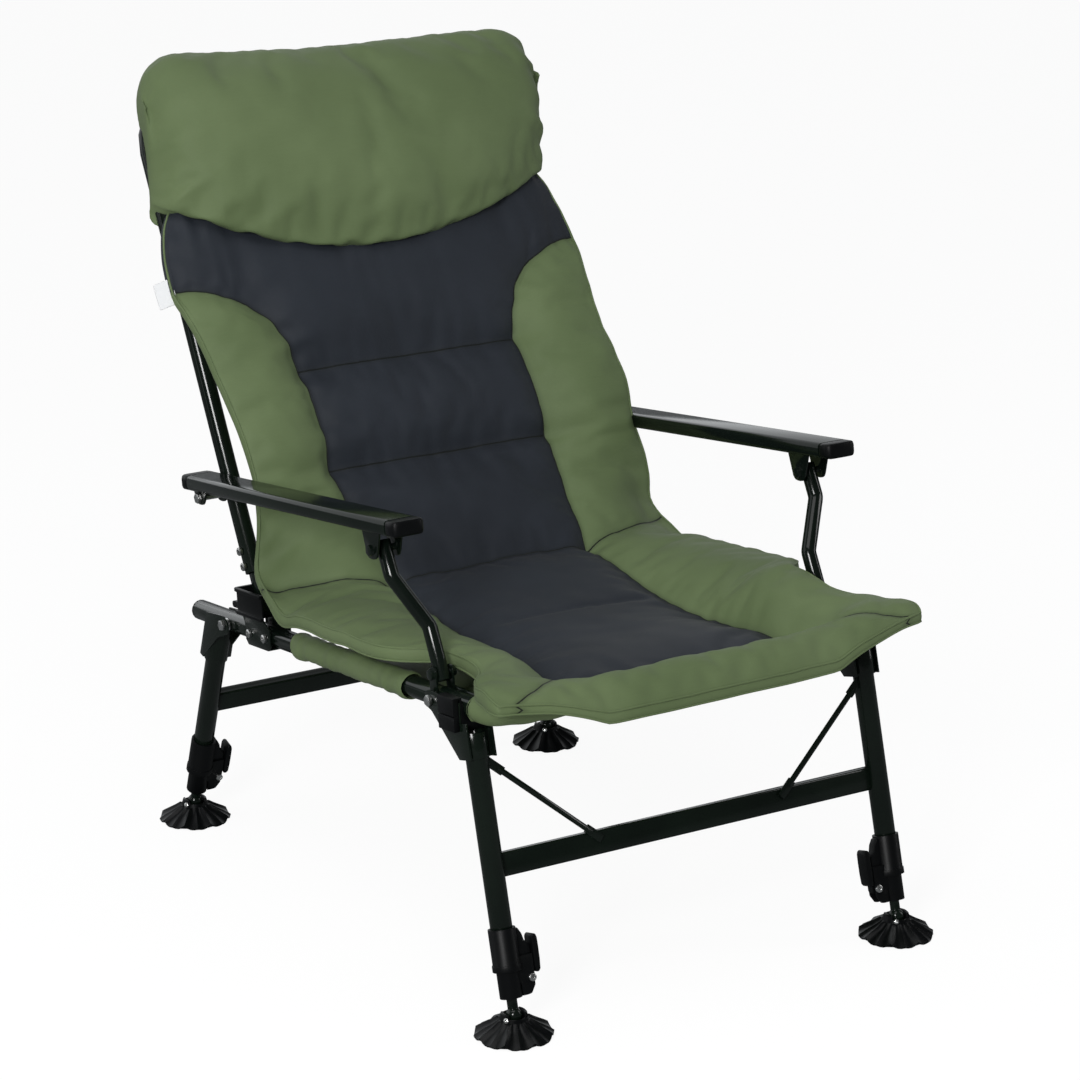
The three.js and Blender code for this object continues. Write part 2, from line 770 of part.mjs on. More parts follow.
// Diagonal stay with flattened ends: leg at the top, face of the crossbar at the foot
function makeBrace(crossbarDrop, gussetLength) {
  const faceY = -frontLegOffset + crossbarBehind - crossbarDepth / 2 - seatingGap;
  const y = faceY - braceTabThickness / 2;
  const top = point(braceTopX, y, -crossbarDrop * braceTopShare);
  const foot = point(braceFootX, y, -crossbarDrop + crossbarHeight / 3);
  const run = top.clone().sub(foot);
  const angle = Math.atan2(run.z, run.x);
  const length = run.length();
  const rod = rodX(braceRadius, braceTabLength / 2, length - braceTabLength / 2, 0, 0, boltSides);
  const flat = sidePlate(roundedOutline([
    [-braceTabThickness / 2, -braceTabWidth / 2, 0],
    [braceTabThickness / 2, -braceTabWidth / 2, 0],
    [braceTabThickness / 2, braceTabWidth / 2, 0],
    [-braceTabThickness / 2, braceTabWidth / 2, 0],
  ]), -braceTabLength / 2, braceTabLength);
  const farFlat = moved(flat.clone(), length - braceTabLength / 2, 0, 0);
  const stay = join(rod, flat, farFlat).rotateY(-angle);
  const leg = rodZ(frameTubeRadius + seatingGap, -legX, 0, legX, -frontLegOffset);
  const wrap = rodZ(wrapRadius + seatingGap, -gussetLength - seatingGap, 0, legX, -frontLegOffset);
  const bar = block(-legX, legX, faceY, 0, -2 * legX, 0);
  return cut(moved(stay, foot.x, foot.y, foot.z), leg, wrap, bar);
}

// Snap clip: a saddle under the tube that hooks over the outer gusset plate
const clipRear = 29;
const clipLow = 24;
const clipHigh = 14;
const clipOutside = 7;
const clipNotch = 1.6;

function makeSnapClip(lean) {
  const plateIn = sideTubeX + gussetOuter - seatingGap;
  const plateOut = sideTubeX + gussetOuter + plateThickness + seatingGap;
  const inside = sideTubeX + gussetInner + seatingGap;
  const body = block(inside, plateIn, -clipFront, -clipRear, -clipLow, frameTubeRadius / 2);
  const hook = block(
    plateIn - plateThickness, plateOut + clipOutside, -clipFront, -clipRear,
    pivotRoundRadius + seatingGap, clipHigh,
  );
  const pad = block(plateOut, plateOut + clipOutside, -clipFront, -clipRear, -clipLow, clipHigh);
  const wall = block(plateIn - plateThickness, plateIn, -clipFront, -clipRear, -clipLow, clipHigh);
  const notch = block(
    plateOut + clipOutside / 2, plateOut + clipOutside + overrun,
    -clipFront - overrun, -clipRear + overrun,
    -clipLow / 4 - clipNotch, -clipLow / 4,
  );
  const tube = join(
    rodY(frameTubeRadius + seatingGap, -clipFront - overrun, -clipRear + overrun, sideTubeX, 0, roundSides),
    block(
      sideTubeX - frameTubeRadius - seatingGap, sideTubeX + frameTubeRadius + seatingGap,
      -clipFront - overrun, -clipRear + overrun, 0, clipHigh + overrun,
    ),
  );
  return cut(join(body, hook, pad, wall), tube, notch).rotateX(-(lean + seatTilt));
}

// Clamp body round the leg's lower end, with a lug for the cam lever on its inner side
function makeClamp(low) {
  const legBore = frameTubeRadius + seatingGap;
  const slideBore = extensionRadius + seatingGap;
  const shoulder = legLowEnd - seatingGap;
  const body = turned([
    [slideBore, clampBottom],
    [clampLowerRadius, clampBottom],
    [clampLowerRadius, clampStep],
    [clampBandRadius, clampStep],
    [clampBandRadius, clampBandTop],
    [clampUpperRadius, clampBandTop],
    [clampUpperRadius, clampTop],
    [legBore, clampTop],
    [legBore, shoulder],
    [slideBore, shoulder],
    [slideBore, clampBottom],
  ]);
  const lug = sidePlate(roundedOutline([
    [-lugHalfWidth, lugBottom, 0],
    [lugHalfWidth, lugBottom, 0],
    [lugHalfWidth, lugTop, 0],
    [-lugHalfWidth, lugTop, 0],
  ]), -lugReach, 0);
  const hollow = rodZ(slideBore, lugBottom - overrun, lugTop + overrun, 0, 0);
  const legHollow = rodZ(legBore, shoulder, lugTop + overrun, 0, 0);
  const slot = block(
    -lugReach - overrun, -camReach + camRadius + seatingGap,
    -lugSlotHalfWidth, lugSlotHalfWidth, lugBottom - overrun, lugTop + overrun,
  );
  const pinReach = lugHalfWidth + smallHeadHeight / 2;
  const pin = rodY(camPinRadius, -pinReach, pinReach, -camReach, camHeight);
  const head = rodY(camPinHeadRadius, -pinReach, -lugHalfWidth, -camReach, camHeight);
  const clamp = join(body, cut(lug, hollow, legHollow, slot), pin, head);
  return moved(clamp, 0, 0, low);
}

// Cam lever, drawn about its pin: a cam in the lug's slot and a thumb plate outside it
function makeCamLever() {
  const back = camReach - lugReach - leverGap;
  const front = back - leverThickness;
  const plate = sidePlate(new THREE.Shape([
    new THREE.Vector2(-leverHalfWidth, leverBottom - camHeight),
    new THREE.Vector2(leverHalfWidth, leverBottom - camHeight),
    new THREE.Vector2(leverHalfWidth, leverTop - camHeight),
    new THREE.Vector2(-leverHalfWidth, leverTop - camHeight),
  ]), front, back);
  const lip = block(
    front - leverLip, back, -leverHalfWidth, leverHalfWidth,
    leverTop - camHeight - leverLip, leverTop - camHeight,
  );
  const camHalf = lugSlotHalfWidth - seatingGap;
  const cam = rodY(camRadius, -camHalf, camHalf, 0, 0);
  const neck = block(back - leverThickness / 2, 0, -camHalf, camHalf, -camRadius / 2, camRadius);
  const hole = rodY(camPinRadius + runningGap, -camHalf - overrun, camHalf + overrun, 0, 0);
  return cut(join(plate, lip, cam, neck), hole);
}

// Sliding tube with the ball stem, drawn about the ball
function makeExtension() {
  const tube = rodZ(extensionRadius, extensionLowEnd, extensionLowEnd + extensionLength, 0, 0, slimSides);
  const stem = rodZ(stemRadius, 0, extensionLowEnd + overrun, 0, 0, smallSides);
  const ball = new THREE.SphereGeometry(ballRadius, smallSides, ballRings).rotateX(Math.PI / 2);
  return join(tube, stem, ball);
}

// Mud foot: a lobed cone with a scalloped rim and a socket hub, drawn about the ball
function makeFoot() {
  const floor = -ballHeight;
  const rings = [
    [footHubRadius - footWall, floor + footShoulderHeight - footWall, 0],
    [footShoulderRadius, floor + footShoulderHeight - 2 * footWall, 0.3],
    [footRadius - footWall, floor, 1],
    [footRadius, floor, 1],
    [footRadius, floor + footRim, 1],
    [footShoulderRadius, floor + footShoulderHeight, 0.3],
    [footHubRadius, floor + footHubTop - footWall * 2, 0],
    [footHubRadius, floor + footHubTop, 0],
  ].map(([radius, height, lobeShare]) => Array.from({ length: footSegments }, (_, i) => {
    const angle = (2 * Math.PI * i) / footSegments;
    const lobe = lobeShare * footLobeDepth * (Math.cos(footLobes * angle) - 1) / 2;
    return point((radius + lobe) * Math.cos(angle), (radius + lobe) * Math.sin(angle), height);
  }));
  const shell = skin(rings);
  const socket = new THREE.SphereGeometry(socketRadius, smallSides, ballRings).rotateX(Math.PI / 2);
  return cut(shell, socket);
}

// One pair of legs as a folding assembly
function addLegs(settings) {
  const { title, pivotReach, lean, offset, topDrop, gussetOutline, gussetShare, crossbarRise } = settings;
  const low = ballDrop(pivotReach, offset, lean);
  const crossbarDrop = -low - crossbarRise;
  const gussetLength = crossbarDrop * gussetShare;
  const outline = gussetOutline(-lean, gussetLength);
  const legs = addGroup(seat, `${title}_leg_fold`, 0, pivotReach, 0, lean + seatTilt);
  addPair(legs, `${title}_leg`, makeLeg({ offset, lean, low, topDrop, outline, gussetLength }), steel);
  addPair(legs, `${title}_leg_bolt`, makePivotBolt(), zinc);
  addMesh(legs, `${title}_crossbar`, makeCrossbar(offset, crossbarDrop), steel);
  for (const [name, side] of [['right', 1], ['left', -1]]) {
    const label = `${title}_${name}`;
    const clamp = makeClamp(low);
    const lever = makeCamLever();
    const fixed = addGroup(legs, `${label}_end`, side * legX, offset, 0, 0);
    addMesh(fixed, `leg_clamp_${label}`, side > 0 ? clamp : mirrored(clamp), plastic);
    const cam = addGroup(legs, `${label}_cam`, side * (legX - camReach), offset, low + camHeight, 0);
    addMesh(cam, `cam_lever_${label}`, side > 0 ? lever : mirrored(lever), plastic);
    const slide = addGroup(legs, `${label}_slide`, side * legX, offset, low, 0);
    addMesh(slide, `extension_${label}`, makeExtension(), steel);
    const foot = addGroup(slide, `${label}_tilt`, 0, 0, 0, -lean);
    addMesh(foot, `foot_${label}`, makeFoot(), plastic);
  }
  return { legs, crossbarDrop, gussetLength };
}

const frontLean = -degrees(frontLeanDegrees);
const rearLean = degrees(rearLeanDegrees);
const front = addLegs({
  title: 'front',
  pivotReach: -frontPivotReach,
  lean: frontLean,
  offset: -frontLegOffset,
  topDrop: legTopDrop,
  gussetOutline: frontGussetOutline,
  gussetShare: frontGussetShare,
  crossbarRise: frontCrossbarRise,
});
addPair(front.legs, 'front_brace', makeBrace(front.crossbarDrop, front.gussetLength), steel);
addPair(front.legs, 'snap_clip', makeSnapClip(frontLean), plastic);
addLegs({
  title: 'rear',
  pivotReach: rearPivotReach,
  lean: rearLean,
  offset: rearLegOffset,
  topDrop: rearLegTopDrop,
  gussetOutline: rearGussetOutline,
  gussetShare: rearGussetShare,
  crossbarRise: rearCrossbarRise,
});

// Back: an inverted U of tube on two flat necks that turn in the recliners
const recline = degrees(reclineDegrees);
const back = addGroup(seat, 'back_fold', 0, backPivotReach, pivotLineHeight, -recline);
const backTubeRadius = 11;
const backTubeLow = 48;
const backTubeTop = 652;
const backCornerRadius = 72;
const neckThickness = 8;
const neckWidth = 16;
const neckInsert = 40;
const neckHubRadius = 9;
const neckBoltHeights = [57, 76];
const armBoltRadius = 4;

function backTubeStations() {
  return bentStations([
    point(-sideTubeX, 0, backTubeLow),
    point(-sideTubeX, 0, backTubeTop),
    point(sideTubeX, 0, backTubeTop),
    point(sideTubeX, 0, backTubeLow),
  ], backCornerRadius);
}

function makeBackTube() {
  const holes = [];
  for (const side of [-1, 1]) {
    const axis = side * sideTubeX;
    const reach = backTubeRadius + overrun;
    holes.push(rodZ(backTubeRadius - tubeWall, backTubeLow - overrun, backTubeLow + neckInsert, axis, 0));
    for (const z of neckBoltHeights) {
      holes.push(rodX(smallBoltRadius + runningGap, axis - reach, axis + reach, 0, z, boltSides));
    }
    holes.push(rodX(armBoltRadius + runningGap, axis - reach, axis + reach, 0, linkLength, boltSides));
  }
  return cut(bentTube(backTubeStations(), backTubeRadius), ...holes);
}

function makeNeck() {
  const bar = block(
    sideTubeX - neckThickness / 2, sideTubeX + neckThickness / 2,
    -neckWidth / 2, neckWidth / 2, 0, backTubeLow + neckInsert - seatingGap,
  );
  const hubHalf = saddleInner - seatingGap;
  const hub = rodX(neckHubRadius, sideTubeX - hubHalf, sideTubeX + hubHalf, 0, 0, roundSides);
  const bolts = neckBoltHeights.map((z) => boltX(
    smallBoltRadius, smallHeadRadius, smallHeadHeight,
    sideTubeX - backTubeRadius - seatingGap, sideTubeX + backTubeRadius + seatingGap, 0, z,
  ));
  const pinHole = rodX(
    boltRadius + runningGap, sideTubeX - saddleInner - overrun, sideTubeX + saddleInner + overrun, 0, 0,
  );
  return cut(join(bar, hub, ...bolts), pinHole);
}

addMesh(back, 'back_tube', makeBackTube(), steel);
addPair(back, 'back_neck', makeNeck(), steel);

// Armrests: a flat bar with end caps, a small bracket at each end, and the front post
const armX = 291.5;
const armWidth = 42;
const armThickness = 18;
const armEdge = 6;
const armFrontOverhang = 66.65;
const armRearReach = 36;
const linkSpan = backPivotReach + postPivotReach;
const armFrontReach = linkSpan + armFrontOverhang;
const armEarShift = 2;
const earX = armX - armEarShift;
const armSlopeDegrees = 1.85;
const armRise = 8;
const capLength = 20;
const capCorner = 14;
const earSpan = 30.6;
const armEarWidth = 20;
const armFrontEarDepth = 10;
const armRearEarDepth = 8;
const armBracketLength = 46;
const postSpread = 30.5;
const postLowerBend = 54;
const postUpperBend = 116;
const postBendRadius = 16;
const postEnd = 9;

function armSection(grow) {
  const half = armWidth / 2 + grow;
  return roundedOutline([
    [armX - half, -grow, armEdge],
    [armX + half, -grow, armEdge],
    [armX + half, armThickness + grow, armEdge],
    [armX - half, armThickness + grow, armEdge],
  ]);
}

// Bar from yFrom to yTo along the arm, drawn level with its underside at the rear bolt's height plus the rise
function armBar(grow, yFrom, yTo) {
  const bar = extruded(armSection(grow), yTo - yFrom);
  return moved(bar.rotateX(Math.PI / 2), 0, yTo, armRise).rotateX(-degrees(armSlopeDegrees));
}

function makeArm() {
  const bar = armBar(0, -armFrontReach + capLength, armRearReach - capLength);
  const plates = [];
  const stations = [[0, armRearEarDepth], [-linkSpan, armFrontEarDepth]];
  for (const [y, depth] of stations) {
    const top = armRise - y * Math.tan(degrees(armSlopeDegrees)) + armThickness / 2;
    const outline = roundedOutline([
      [y - armEarWidth / 2, -depth, armEarWidth / 2],
      [y + armEarWidth / 2, -depth, armEarWidth / 2],
      [Math.min(y + armBracketLength / 2, armRearReach - capLength), top, 0],
      [y - armBracketLength / 2, top, 0],
    ]);
    for (const side of [-1, 1]) {
      const face = earX + side * (earSpan / 2 - plateThickness / 2);
      plates.push(sidePlate(outline, face - plateThickness / 2, face + plateThickness / 2));
    }
  }
  const bolt = boltX(
    boltRadius, boltHeadRadius, boltHeadHeight,
    earX - earSpan / 2, earX + earSpan / 2, -linkSpan, 0,
  );
  const rearHole = rodX(
    armBoltRadius + runningGap, sideTubeX, armX + armWidth, 0, 0, boltSides,
  );
  return join(bar, cut(join(...plates), rearHole), bolt);
}

// End cap: the arm's section closed by a rounded nose
function makeArmCap(yFrom, yTo, nose) {
  const blank = armBar(0, yFrom, yTo);
  const half = armWidth / 2;
  const plan = roundedOutline([
    [armX - half, nose > 0 ? yFrom : yTo, 0],
    [armX + half, nose > 0 ? yFrom : yTo, 0],
    [armX + half, nose > 0 ? yTo : yFrom, capCorner],
    [armX - half, nose > 0 ? yTo : yFrom, capCorner],
  ]);
  const tall = planPlate(plan, -armThickness, armRise + 2 * armThickness).rotateX(-degrees(armSlopeDegrees));
  return toGeometry(toSolid(blank).intersect(toSolid(tall)));
}

// Bolt that carries the armrest on the back tube, with a distance sleeve
function makeArmRearBolt() {
  const inner = sideTubeX - backTubeRadius - seatingGap;
  const outer = earX + earSpan / 2 + seatingGap;
  const shaft = boltX(armBoltRadius, boltHeadRadius, boltHeadHeight, inner, outer, 0, linkLength);
  const spacerFrom = sideTubeX + backTubeRadius + seatingGap;
  const spacerTo = earX - earSpan / 2 - seatingGap;
  return join(shaft, rodX(spacerRadius, spacerFrom, spacerTo, 0, linkLength));
}

function makePost() {
  const corners = [
    point(sideTubeX, 0, -postEnd),
    point(sideTubeX, 0, postLowerBend),
    point(sideTubeX + postSpread, 0, postUpperBend),
    point(sideTubeX + postSpread, 0, linkLength + postEnd),
  ];
  const tube = bentTube(bentStations(corners, postBendRadius), postRadius, slimSides);
  const reach = postRadius + overrun;
  const top = sideTubeX + postSpread;
  const lowHole = rodX(boltRadius + runningGap, sideTubeX - reach, sideTubeX + reach, 0, 0, boltSides);
  const topHole = rodX(boltRadius + openPivotGap, top - reach, top + reach, 0, linkLength, boltSides);
  return cut(tube, lowHole, topHole);
}

addPair(back, 'arm_rear_bolt', makeArmRearBolt(), zinc);
for (const [name, side] of [['right', 1], ['left', -1]]) {
  const sided = (geometry) => (side > 0 ? geometry : mirrored(geometry));
  const arm = addGroup(back, `arm_${name}_turn`, 0, 0, linkLength, recline);
  addMesh(arm, `armrest_${name}`, sided(makeArm()), steel);
  const frontCap = makeArmCap(-armFrontReach, -armFrontReach + capLength - seatingGap, -1);
  const rearCap = makeArmCap(armRearReach - capLength + seatingGap, armRearReach, 1);
  addMesh(arm, `arm_front_cap_${name}`, sided(frontCap), plastic);
  addMesh(arm, `arm_rear_cap_${name}`, sided(rearCap), plastic);
  const post = addGroup(seat, `post_${name}_turn`, 0, -postPivotReach, pivotLineHeight, -recline);
  addMesh(post, `arm_post_${name}`, sided(makePost()), steel);
}

// Cover: padded sections lofted from rings across the chair
const columnShares = [0, 0.3, 0.5, 0.54, 0.58, 0.7, 0.84, 0.95, 1];
const panelShare = 0.54;
const edgePower = 7;
const seamDip = 5;
const frontBlendShare = 0.45;
const rearBlendShare = 0.31;

// Share of full thickness at a column: full in the middle, nothing at the rim
function rimShare(share) {
  return Math.sqrt(Math.max(0, 1 - Math.abs(share) ** edgePower));
}

// One ring: its front face left to right, then its rear face right to left
function padRing(station) {
  const { half, front, border, rear, borderRear, place } = station;
  const columns = [...columnShares.slice(1).reverse().map((share) => -share), ...columnShares];
  const beyond = (share, blend) => {
    const outside = (Math.abs(share) - panelShare) / (1 - panelShare);
    return Math.min(1, Math.max(0, outside / blend));
  };
  const rise = (share) => front + (border - front) * beyond(share, frontBlendShare);
  const drop = (share) => rear + (borderRear - rear) * beyond(share, rearBlendShare);
  const faceOf = (share, height) => {
    const middle = (rise(share) + drop(share)) / 2;
    const dip = Math.abs(share) === panelShare && height === rise ? seamDip : 0;
    return middle + (height(share) - middle) * rimShare(share) - dip;
  };
  const ahead = columns.map((share) => place(half * share, faceOf(share, rise), share));
  const behind = columns.slice(1, -1).reverse().map((share) => place(half * share, faceOf(share, drop), share));
  return [...ahead, ...behind];
}

// Seat cushion: a thin black panel in a thick green border that laps over the front tube
const seatPadFront = 365;
const seatPadRear = 74;
const seatPadBow = 35;
const seatPadDroop = 26;
const seatPadHalfWidth = 290;
const seatPadLift = 100;
const padClearance = 0.5;
const postNotchGap = 9;
const postNotchHalfWidth = sideTubeX - postRadius - postNotchGap;
const postNotchFront = 66;
const postNotchRear = 42;
const seatPadShares = [
  // along, bow, droop, half width, front face, border face, thickness, section lean in degrees
  [0, 1, 1, 0.955, 0.3, 0.3, 0.13, 0],
  [0.01, 0.95, 0.9, 0.975, 0.37, 0.37, 0.2, 0],
  [0.035, 0.75, 0.5, 0.995, 0.43, 0.43, 0.25, 0],
  [0.05, 0.45, 0, 1, 0.44, 0.44, 0.285, 0],
  [0.0686, 0.1, 0, 1, 0.4, 0.42, 0.24, 0],
  [0.092, 0.02, 0, 0.985, 0.22, 0.4, 0.34, 0],
  [0.133, 0, 0, 0.93, 0.06, 0.38, 0.2, 0],
  [0.154, 0, 0, 0.82, 0.1, 0.4, 0.24, 0],
  [0.25, 0, 0, 0.815, 0.12, 0.42, 0.26, 0],
  [0.358, 0, 0, 0.83, 0.1, 0.45, 0.24, 0],
  [0.422, 0, 0, 0.96, 0.11, 0.46, 0.25, 0],
  [0.529, 0, 0, 1, 0.16, 0.48, 0.3, 0],
  [0.657, 0, 0, 1, 0.25, 0.5, 0.38, 4],
  [0.786, 0, 0, 1, 0.38, 0.52, 0.42, 10],
  [0.893, 0, 0, 0.99, 0.52, 0.56, 0.42, 20],
  [0.968, 0, 0, 0.985, 0.66, 0.62, 0.42, 27],
  [1, 0, 0, 0.98, 0.72, 0.64, 0.4, 30],
];

function seatPadStation([along, bow, droop, half, face, border, thick, leanDegrees]) {
  const y = -seatPadFront + along * (seatPadFront + seatPadRear);
  const lean = degrees(leanDegrees);
  const top = face * seatPadLift;
  const low = Math.max(top - thick * seatPadLift, -sleeveInner + padClearance);
  const borderLow = Math.max(low, sleeveOuter + padClearance);
  const besidePost = y > -postPivotReach - postNotchFront && y < -postPivotReach + postNotchRear;
  const widest = besidePost ? postNotchHalfWidth : seatPadHalfWidth;
  return {
    half: Math.min(half * seatPadHalfWidth, widest),
    front: top,
    border: Math.max(border * seatPadLift, borderLow + padClearance),
    rear: low,
    borderRear: borderLow,
    place: (x, h, share) => point(
      x,
      y - bow * seatPadBow * (1 - share * share) - (h - top) * Math.sin(lean),
      top + (h - top) * Math.cos(lean) - droop * seatPadDroop * (1 - share * share),
    ),
  };
}

addMesh(seat, 'seat_cushion', skin(seatPadShares.map((row) => padRing(seatPadStation(row)))), greenFabric);

// Back cushion with the headrest pillow, which pockets the top of the back tube
const backPadLow = 146;
const backPadHigh = 697;
const backPadHalfWidth = 286;
const backPadProud = 100;
const pocketBack = 16;
const pocketShare = 0.16;
const backPadShares = [
  // along, half width, panel face, border face, rear face
  [0, 0.9, 0.42, 0.46, 0.3],
  [0.012, 0.915, 0.58, 0.62, 0.16],
  [0.06, 0.925, 0.62, 0.68, 0.125],
  [0.14, 0.93, 0.58, 0.66, 0.125],
  [0.225, 0.92, 0.4, 0.5, 0.125],
  [0.24, 0.92, 0.42, 0.5, 0.125],
  [0.33, 0.93, 0.46, 0.5, 0.125],
  [0.43, 0.955, 0.38, 0.42, 0.125],
  [0.49, 0.96, 0.3, 0.32, 0.125],
  [0.51, 0.965, 0.26, 0.27, 0.125],
  [0.53, 0.97, 0.44, 0.36, 0.1],
  [0.58, 0.97, 0.66, 0.56, -0.02],
  [0.66, 0.965, 0.8, 0.72, -0.15],
  [0.78, 0.965, 0.85, 0.76, -0.16],
  [0.89, 0.965, 0.76, 0.68, -0.16],
  [0.95, 0.95, 0.6, 0.52, -0.16],
  [0.985, 0.92, 0.36, 0.3, -0.13],
  [1, 0.87, 0.1, 0.08, -0.04],
];

function backPadStation([along, half, face, border, rear]) {
  const z = backPadLow + along * (backPadHigh - backPadLow);
  const behind = rear < 0 ? rear * pocketBack / pocketShare : rear * backPadProud;
  return {
    half: half * backPadHalfWidth,
    front: face * backPadProud,
    border: border * backPadProud,
    rear: behind,
    borderRear: behind,
    place: (x, n) => point(x, -n, z),
  };
}

const tubeRoom = bentTube(backTubeStations(), backTubeRadius + seatingGap, roundSides);
const backPad = skin(backPadShares.map((row) => padRing(backPadStation(row))));
addMesh(back, 'back_cushion', cut(backPad, tubeRoom), greenFabric);

// The soft bend of the pad between seat and back
const bendThickness = 38;
const bendStartShare = 0.72;
const bendEndShare = 0.58;
const bendShares = [
  // along and up from the seat section's end to the back section's end, slope in degrees, half width
  [0.003, 0.003, 30, 0.98],
  [0.3, 0.2, 37, 0.97],
  [0.62, 0.5, 50, 0.94],
  [0.85, 0.78, 60, 0.92],
  [0.99, 0.985, 67.9, 0.9],
];

function makeBend() {
  const start = point(0, seatPadRear, bendStartShare * seatPadLift);
  const ahead = bendEndShare * backPadProud;
  const end = point(
    0,
    backPivotReach + backPadLow * Math.sin(recline) - ahead * Math.cos(recline),
    pivotLineHeight + backPadLow * Math.cos(recline) + ahead * Math.sin(recline),
  );
  return skin(bendShares.map(([along, up, slopeDegrees, half]) => {
    const slope = degrees(slopeDegrees);
    const y = THREE.MathUtils.lerp(start.y, end.y, along);
    const z = THREE.MathUtils.lerp(start.z, end.z, up);
    return padRing({
      half: half * seatPadHalfWidth,
      front: 0,
      border: 0,
      rear: -bendThickness,
      borderRear: -bendThickness,
      place: (x, n) => point(x, y - n * Math.sin(slope), z + n * Math.cos(slope)),
    });
  }));
}

addMesh(seat, 'bend_pad', makeBend(), greenFabric);

// The chair's origin is on the floor under the middle of its whole outline
chair.updateMatrixWorld(true);
const outlineBox = new THREE.Box3().setFromObject(chair, true);
seat.position.y = -(outlineBox.min.y + outlineBox.max.y) / 2;
chair.updateMatrixWorld(true);

export default chair;
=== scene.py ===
# Carp fishing chair: smooth painted frame, sewn padded cover, fabric sleeves and small fittings
import json
import math

import bpy
import numpy as np
from mathutils import Matrix, Vector, noise


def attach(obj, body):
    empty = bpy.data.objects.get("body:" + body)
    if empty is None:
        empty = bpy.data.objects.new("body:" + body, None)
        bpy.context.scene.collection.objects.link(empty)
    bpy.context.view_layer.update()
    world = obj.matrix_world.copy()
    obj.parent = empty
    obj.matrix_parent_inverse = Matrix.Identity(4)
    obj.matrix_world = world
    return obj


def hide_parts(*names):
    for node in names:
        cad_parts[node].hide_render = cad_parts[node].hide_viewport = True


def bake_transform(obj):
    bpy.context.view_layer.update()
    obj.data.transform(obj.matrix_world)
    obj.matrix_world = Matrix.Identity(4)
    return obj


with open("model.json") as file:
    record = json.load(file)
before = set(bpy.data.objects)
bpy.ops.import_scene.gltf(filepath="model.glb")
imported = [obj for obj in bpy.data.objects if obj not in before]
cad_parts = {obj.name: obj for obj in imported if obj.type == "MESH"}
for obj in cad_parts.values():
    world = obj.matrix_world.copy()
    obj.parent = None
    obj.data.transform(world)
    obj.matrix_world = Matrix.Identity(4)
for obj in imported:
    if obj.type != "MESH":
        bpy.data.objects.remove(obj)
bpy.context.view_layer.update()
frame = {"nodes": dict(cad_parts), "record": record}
mm = 0.001
bothSides = (("right", 1), ("left", -1))
print("frame loaded:", len(frame["nodes"]), "nodes")


# Small helpers
def deselectAll():
    if bpy.context.object and bpy.context.object.mode != "OBJECT":
        bpy.ops.object.mode_set(mode="OBJECT")
    bpy.ops.object.select_all(action="DESELECT")


def activate(piece):
    deselectAll()
    piece.select_set(True)
    bpy.context.view_layer.objects.active = piece
    return piece


def editAll(piece):
    activate(piece)
    bpy.ops.object.mode_set(mode="EDIT")
    bpy.ops.mesh.select_all(action="SELECT")


def linkNew(name, data):
    piece = bpy.data.objects.new(name, data)
    bpy.context.collection.objects.link(piece)
    return piece


def meshPiece(name, points, faces):
    mesh = bpy.data.meshes.new(name)
    mesh.from_pydata([tuple(point) for point in points], [], faces)
    mesh.update()
    return linkNew(name, mesh)


def gridFaces(rows, columns):
    starts = [i * columns + j for i in range(rows - 1) for j in range(columns - 1)]
    return [(a, a + 1, a + columns + 1, a + columns) for a in starts]


def applyModifiers(piece):
    activate(piece)
    for modifier in list(piece.modifiers):
        bpy.ops.object.modifier_apply(modifier=modifier.name)
    return piece


def subdivideOnce(piece):
    smoother = piece.modifiers.new("Subdivision", "SUBSURF")
    smoother.levels = smoother.render_levels = 1
    applyModifiers(piece)
    bpy.ops.object.shade_smooth()


def softenEdges(piece, width):
    bevel = piece.modifiers.new("Bevel", "BEVEL")
    bevel.width = width * mm
    bevel.segments = 2
    bevel.limit_method = "ANGLE"
    bevel.angle_limit = math.radians(40)
    applyModifiers(piece)


def turnOutward(piece):
    editAll(piece)
    bpy.ops.mesh.normals_make_consistent(inside=False)
    bpy.ops.object.mode_set(mode="OBJECT")


def settle(piece):
    # moves the place of a piece into its mesh
    activate(piece)
    bpy.ops.object.transform_apply(location=True, rotation=True, scale=True)
    return piece


def smoothByAngle(piece, angle):
    activate(piece)
    bpy.ops.object.shade_smooth_by_angle(angle=math.radians(angle))
    return piece


def paint(piece, material):
    piece.data.materials.clear()
    piece.data.materials.append(material)
    return piece


# Shader maths
class Wire:
    # a socket that takes part in sums and products
    def __init__(self, nodes, socket):
        self.nodes = nodes
        self.socket = socket

    def maths(self, operation, *values):
        return self.nodes.add("ShaderNodeMath", {"operation": operation}, values)

    def __add__(self, other):
        return self.maths("ADD", self, other)

    __radd__ = __add__

    def __sub__(self, other):
        return self.maths("SUBTRACT", self, other)

    def __rsub__(self, other):
        return self.maths("SUBTRACT", other, self)

    def __mul__(self, other):
        return self.maths("MULTIPLY", self, other)

    __rmul__ = __mul__

    def __abs__(self):
        return self.maths("ABSOLUTE", self)

    def sine(self):
        return self.maths("SINE", self)

    def larger(self, other):
        return self.maths("MAXIMUM", self, other)

    def smaller(self, other):
        return self.maths("MINIMUM", self, other)

    def stretch(self, low, high):
        # a soft climb from 0 to 1 between two values
        settings = {"interpolation_type": "SMOOTHSTEP"}
        return self.nodes.add("ShaderNodeMapRange", settings, (self, low, high, 0.0, 1.0))


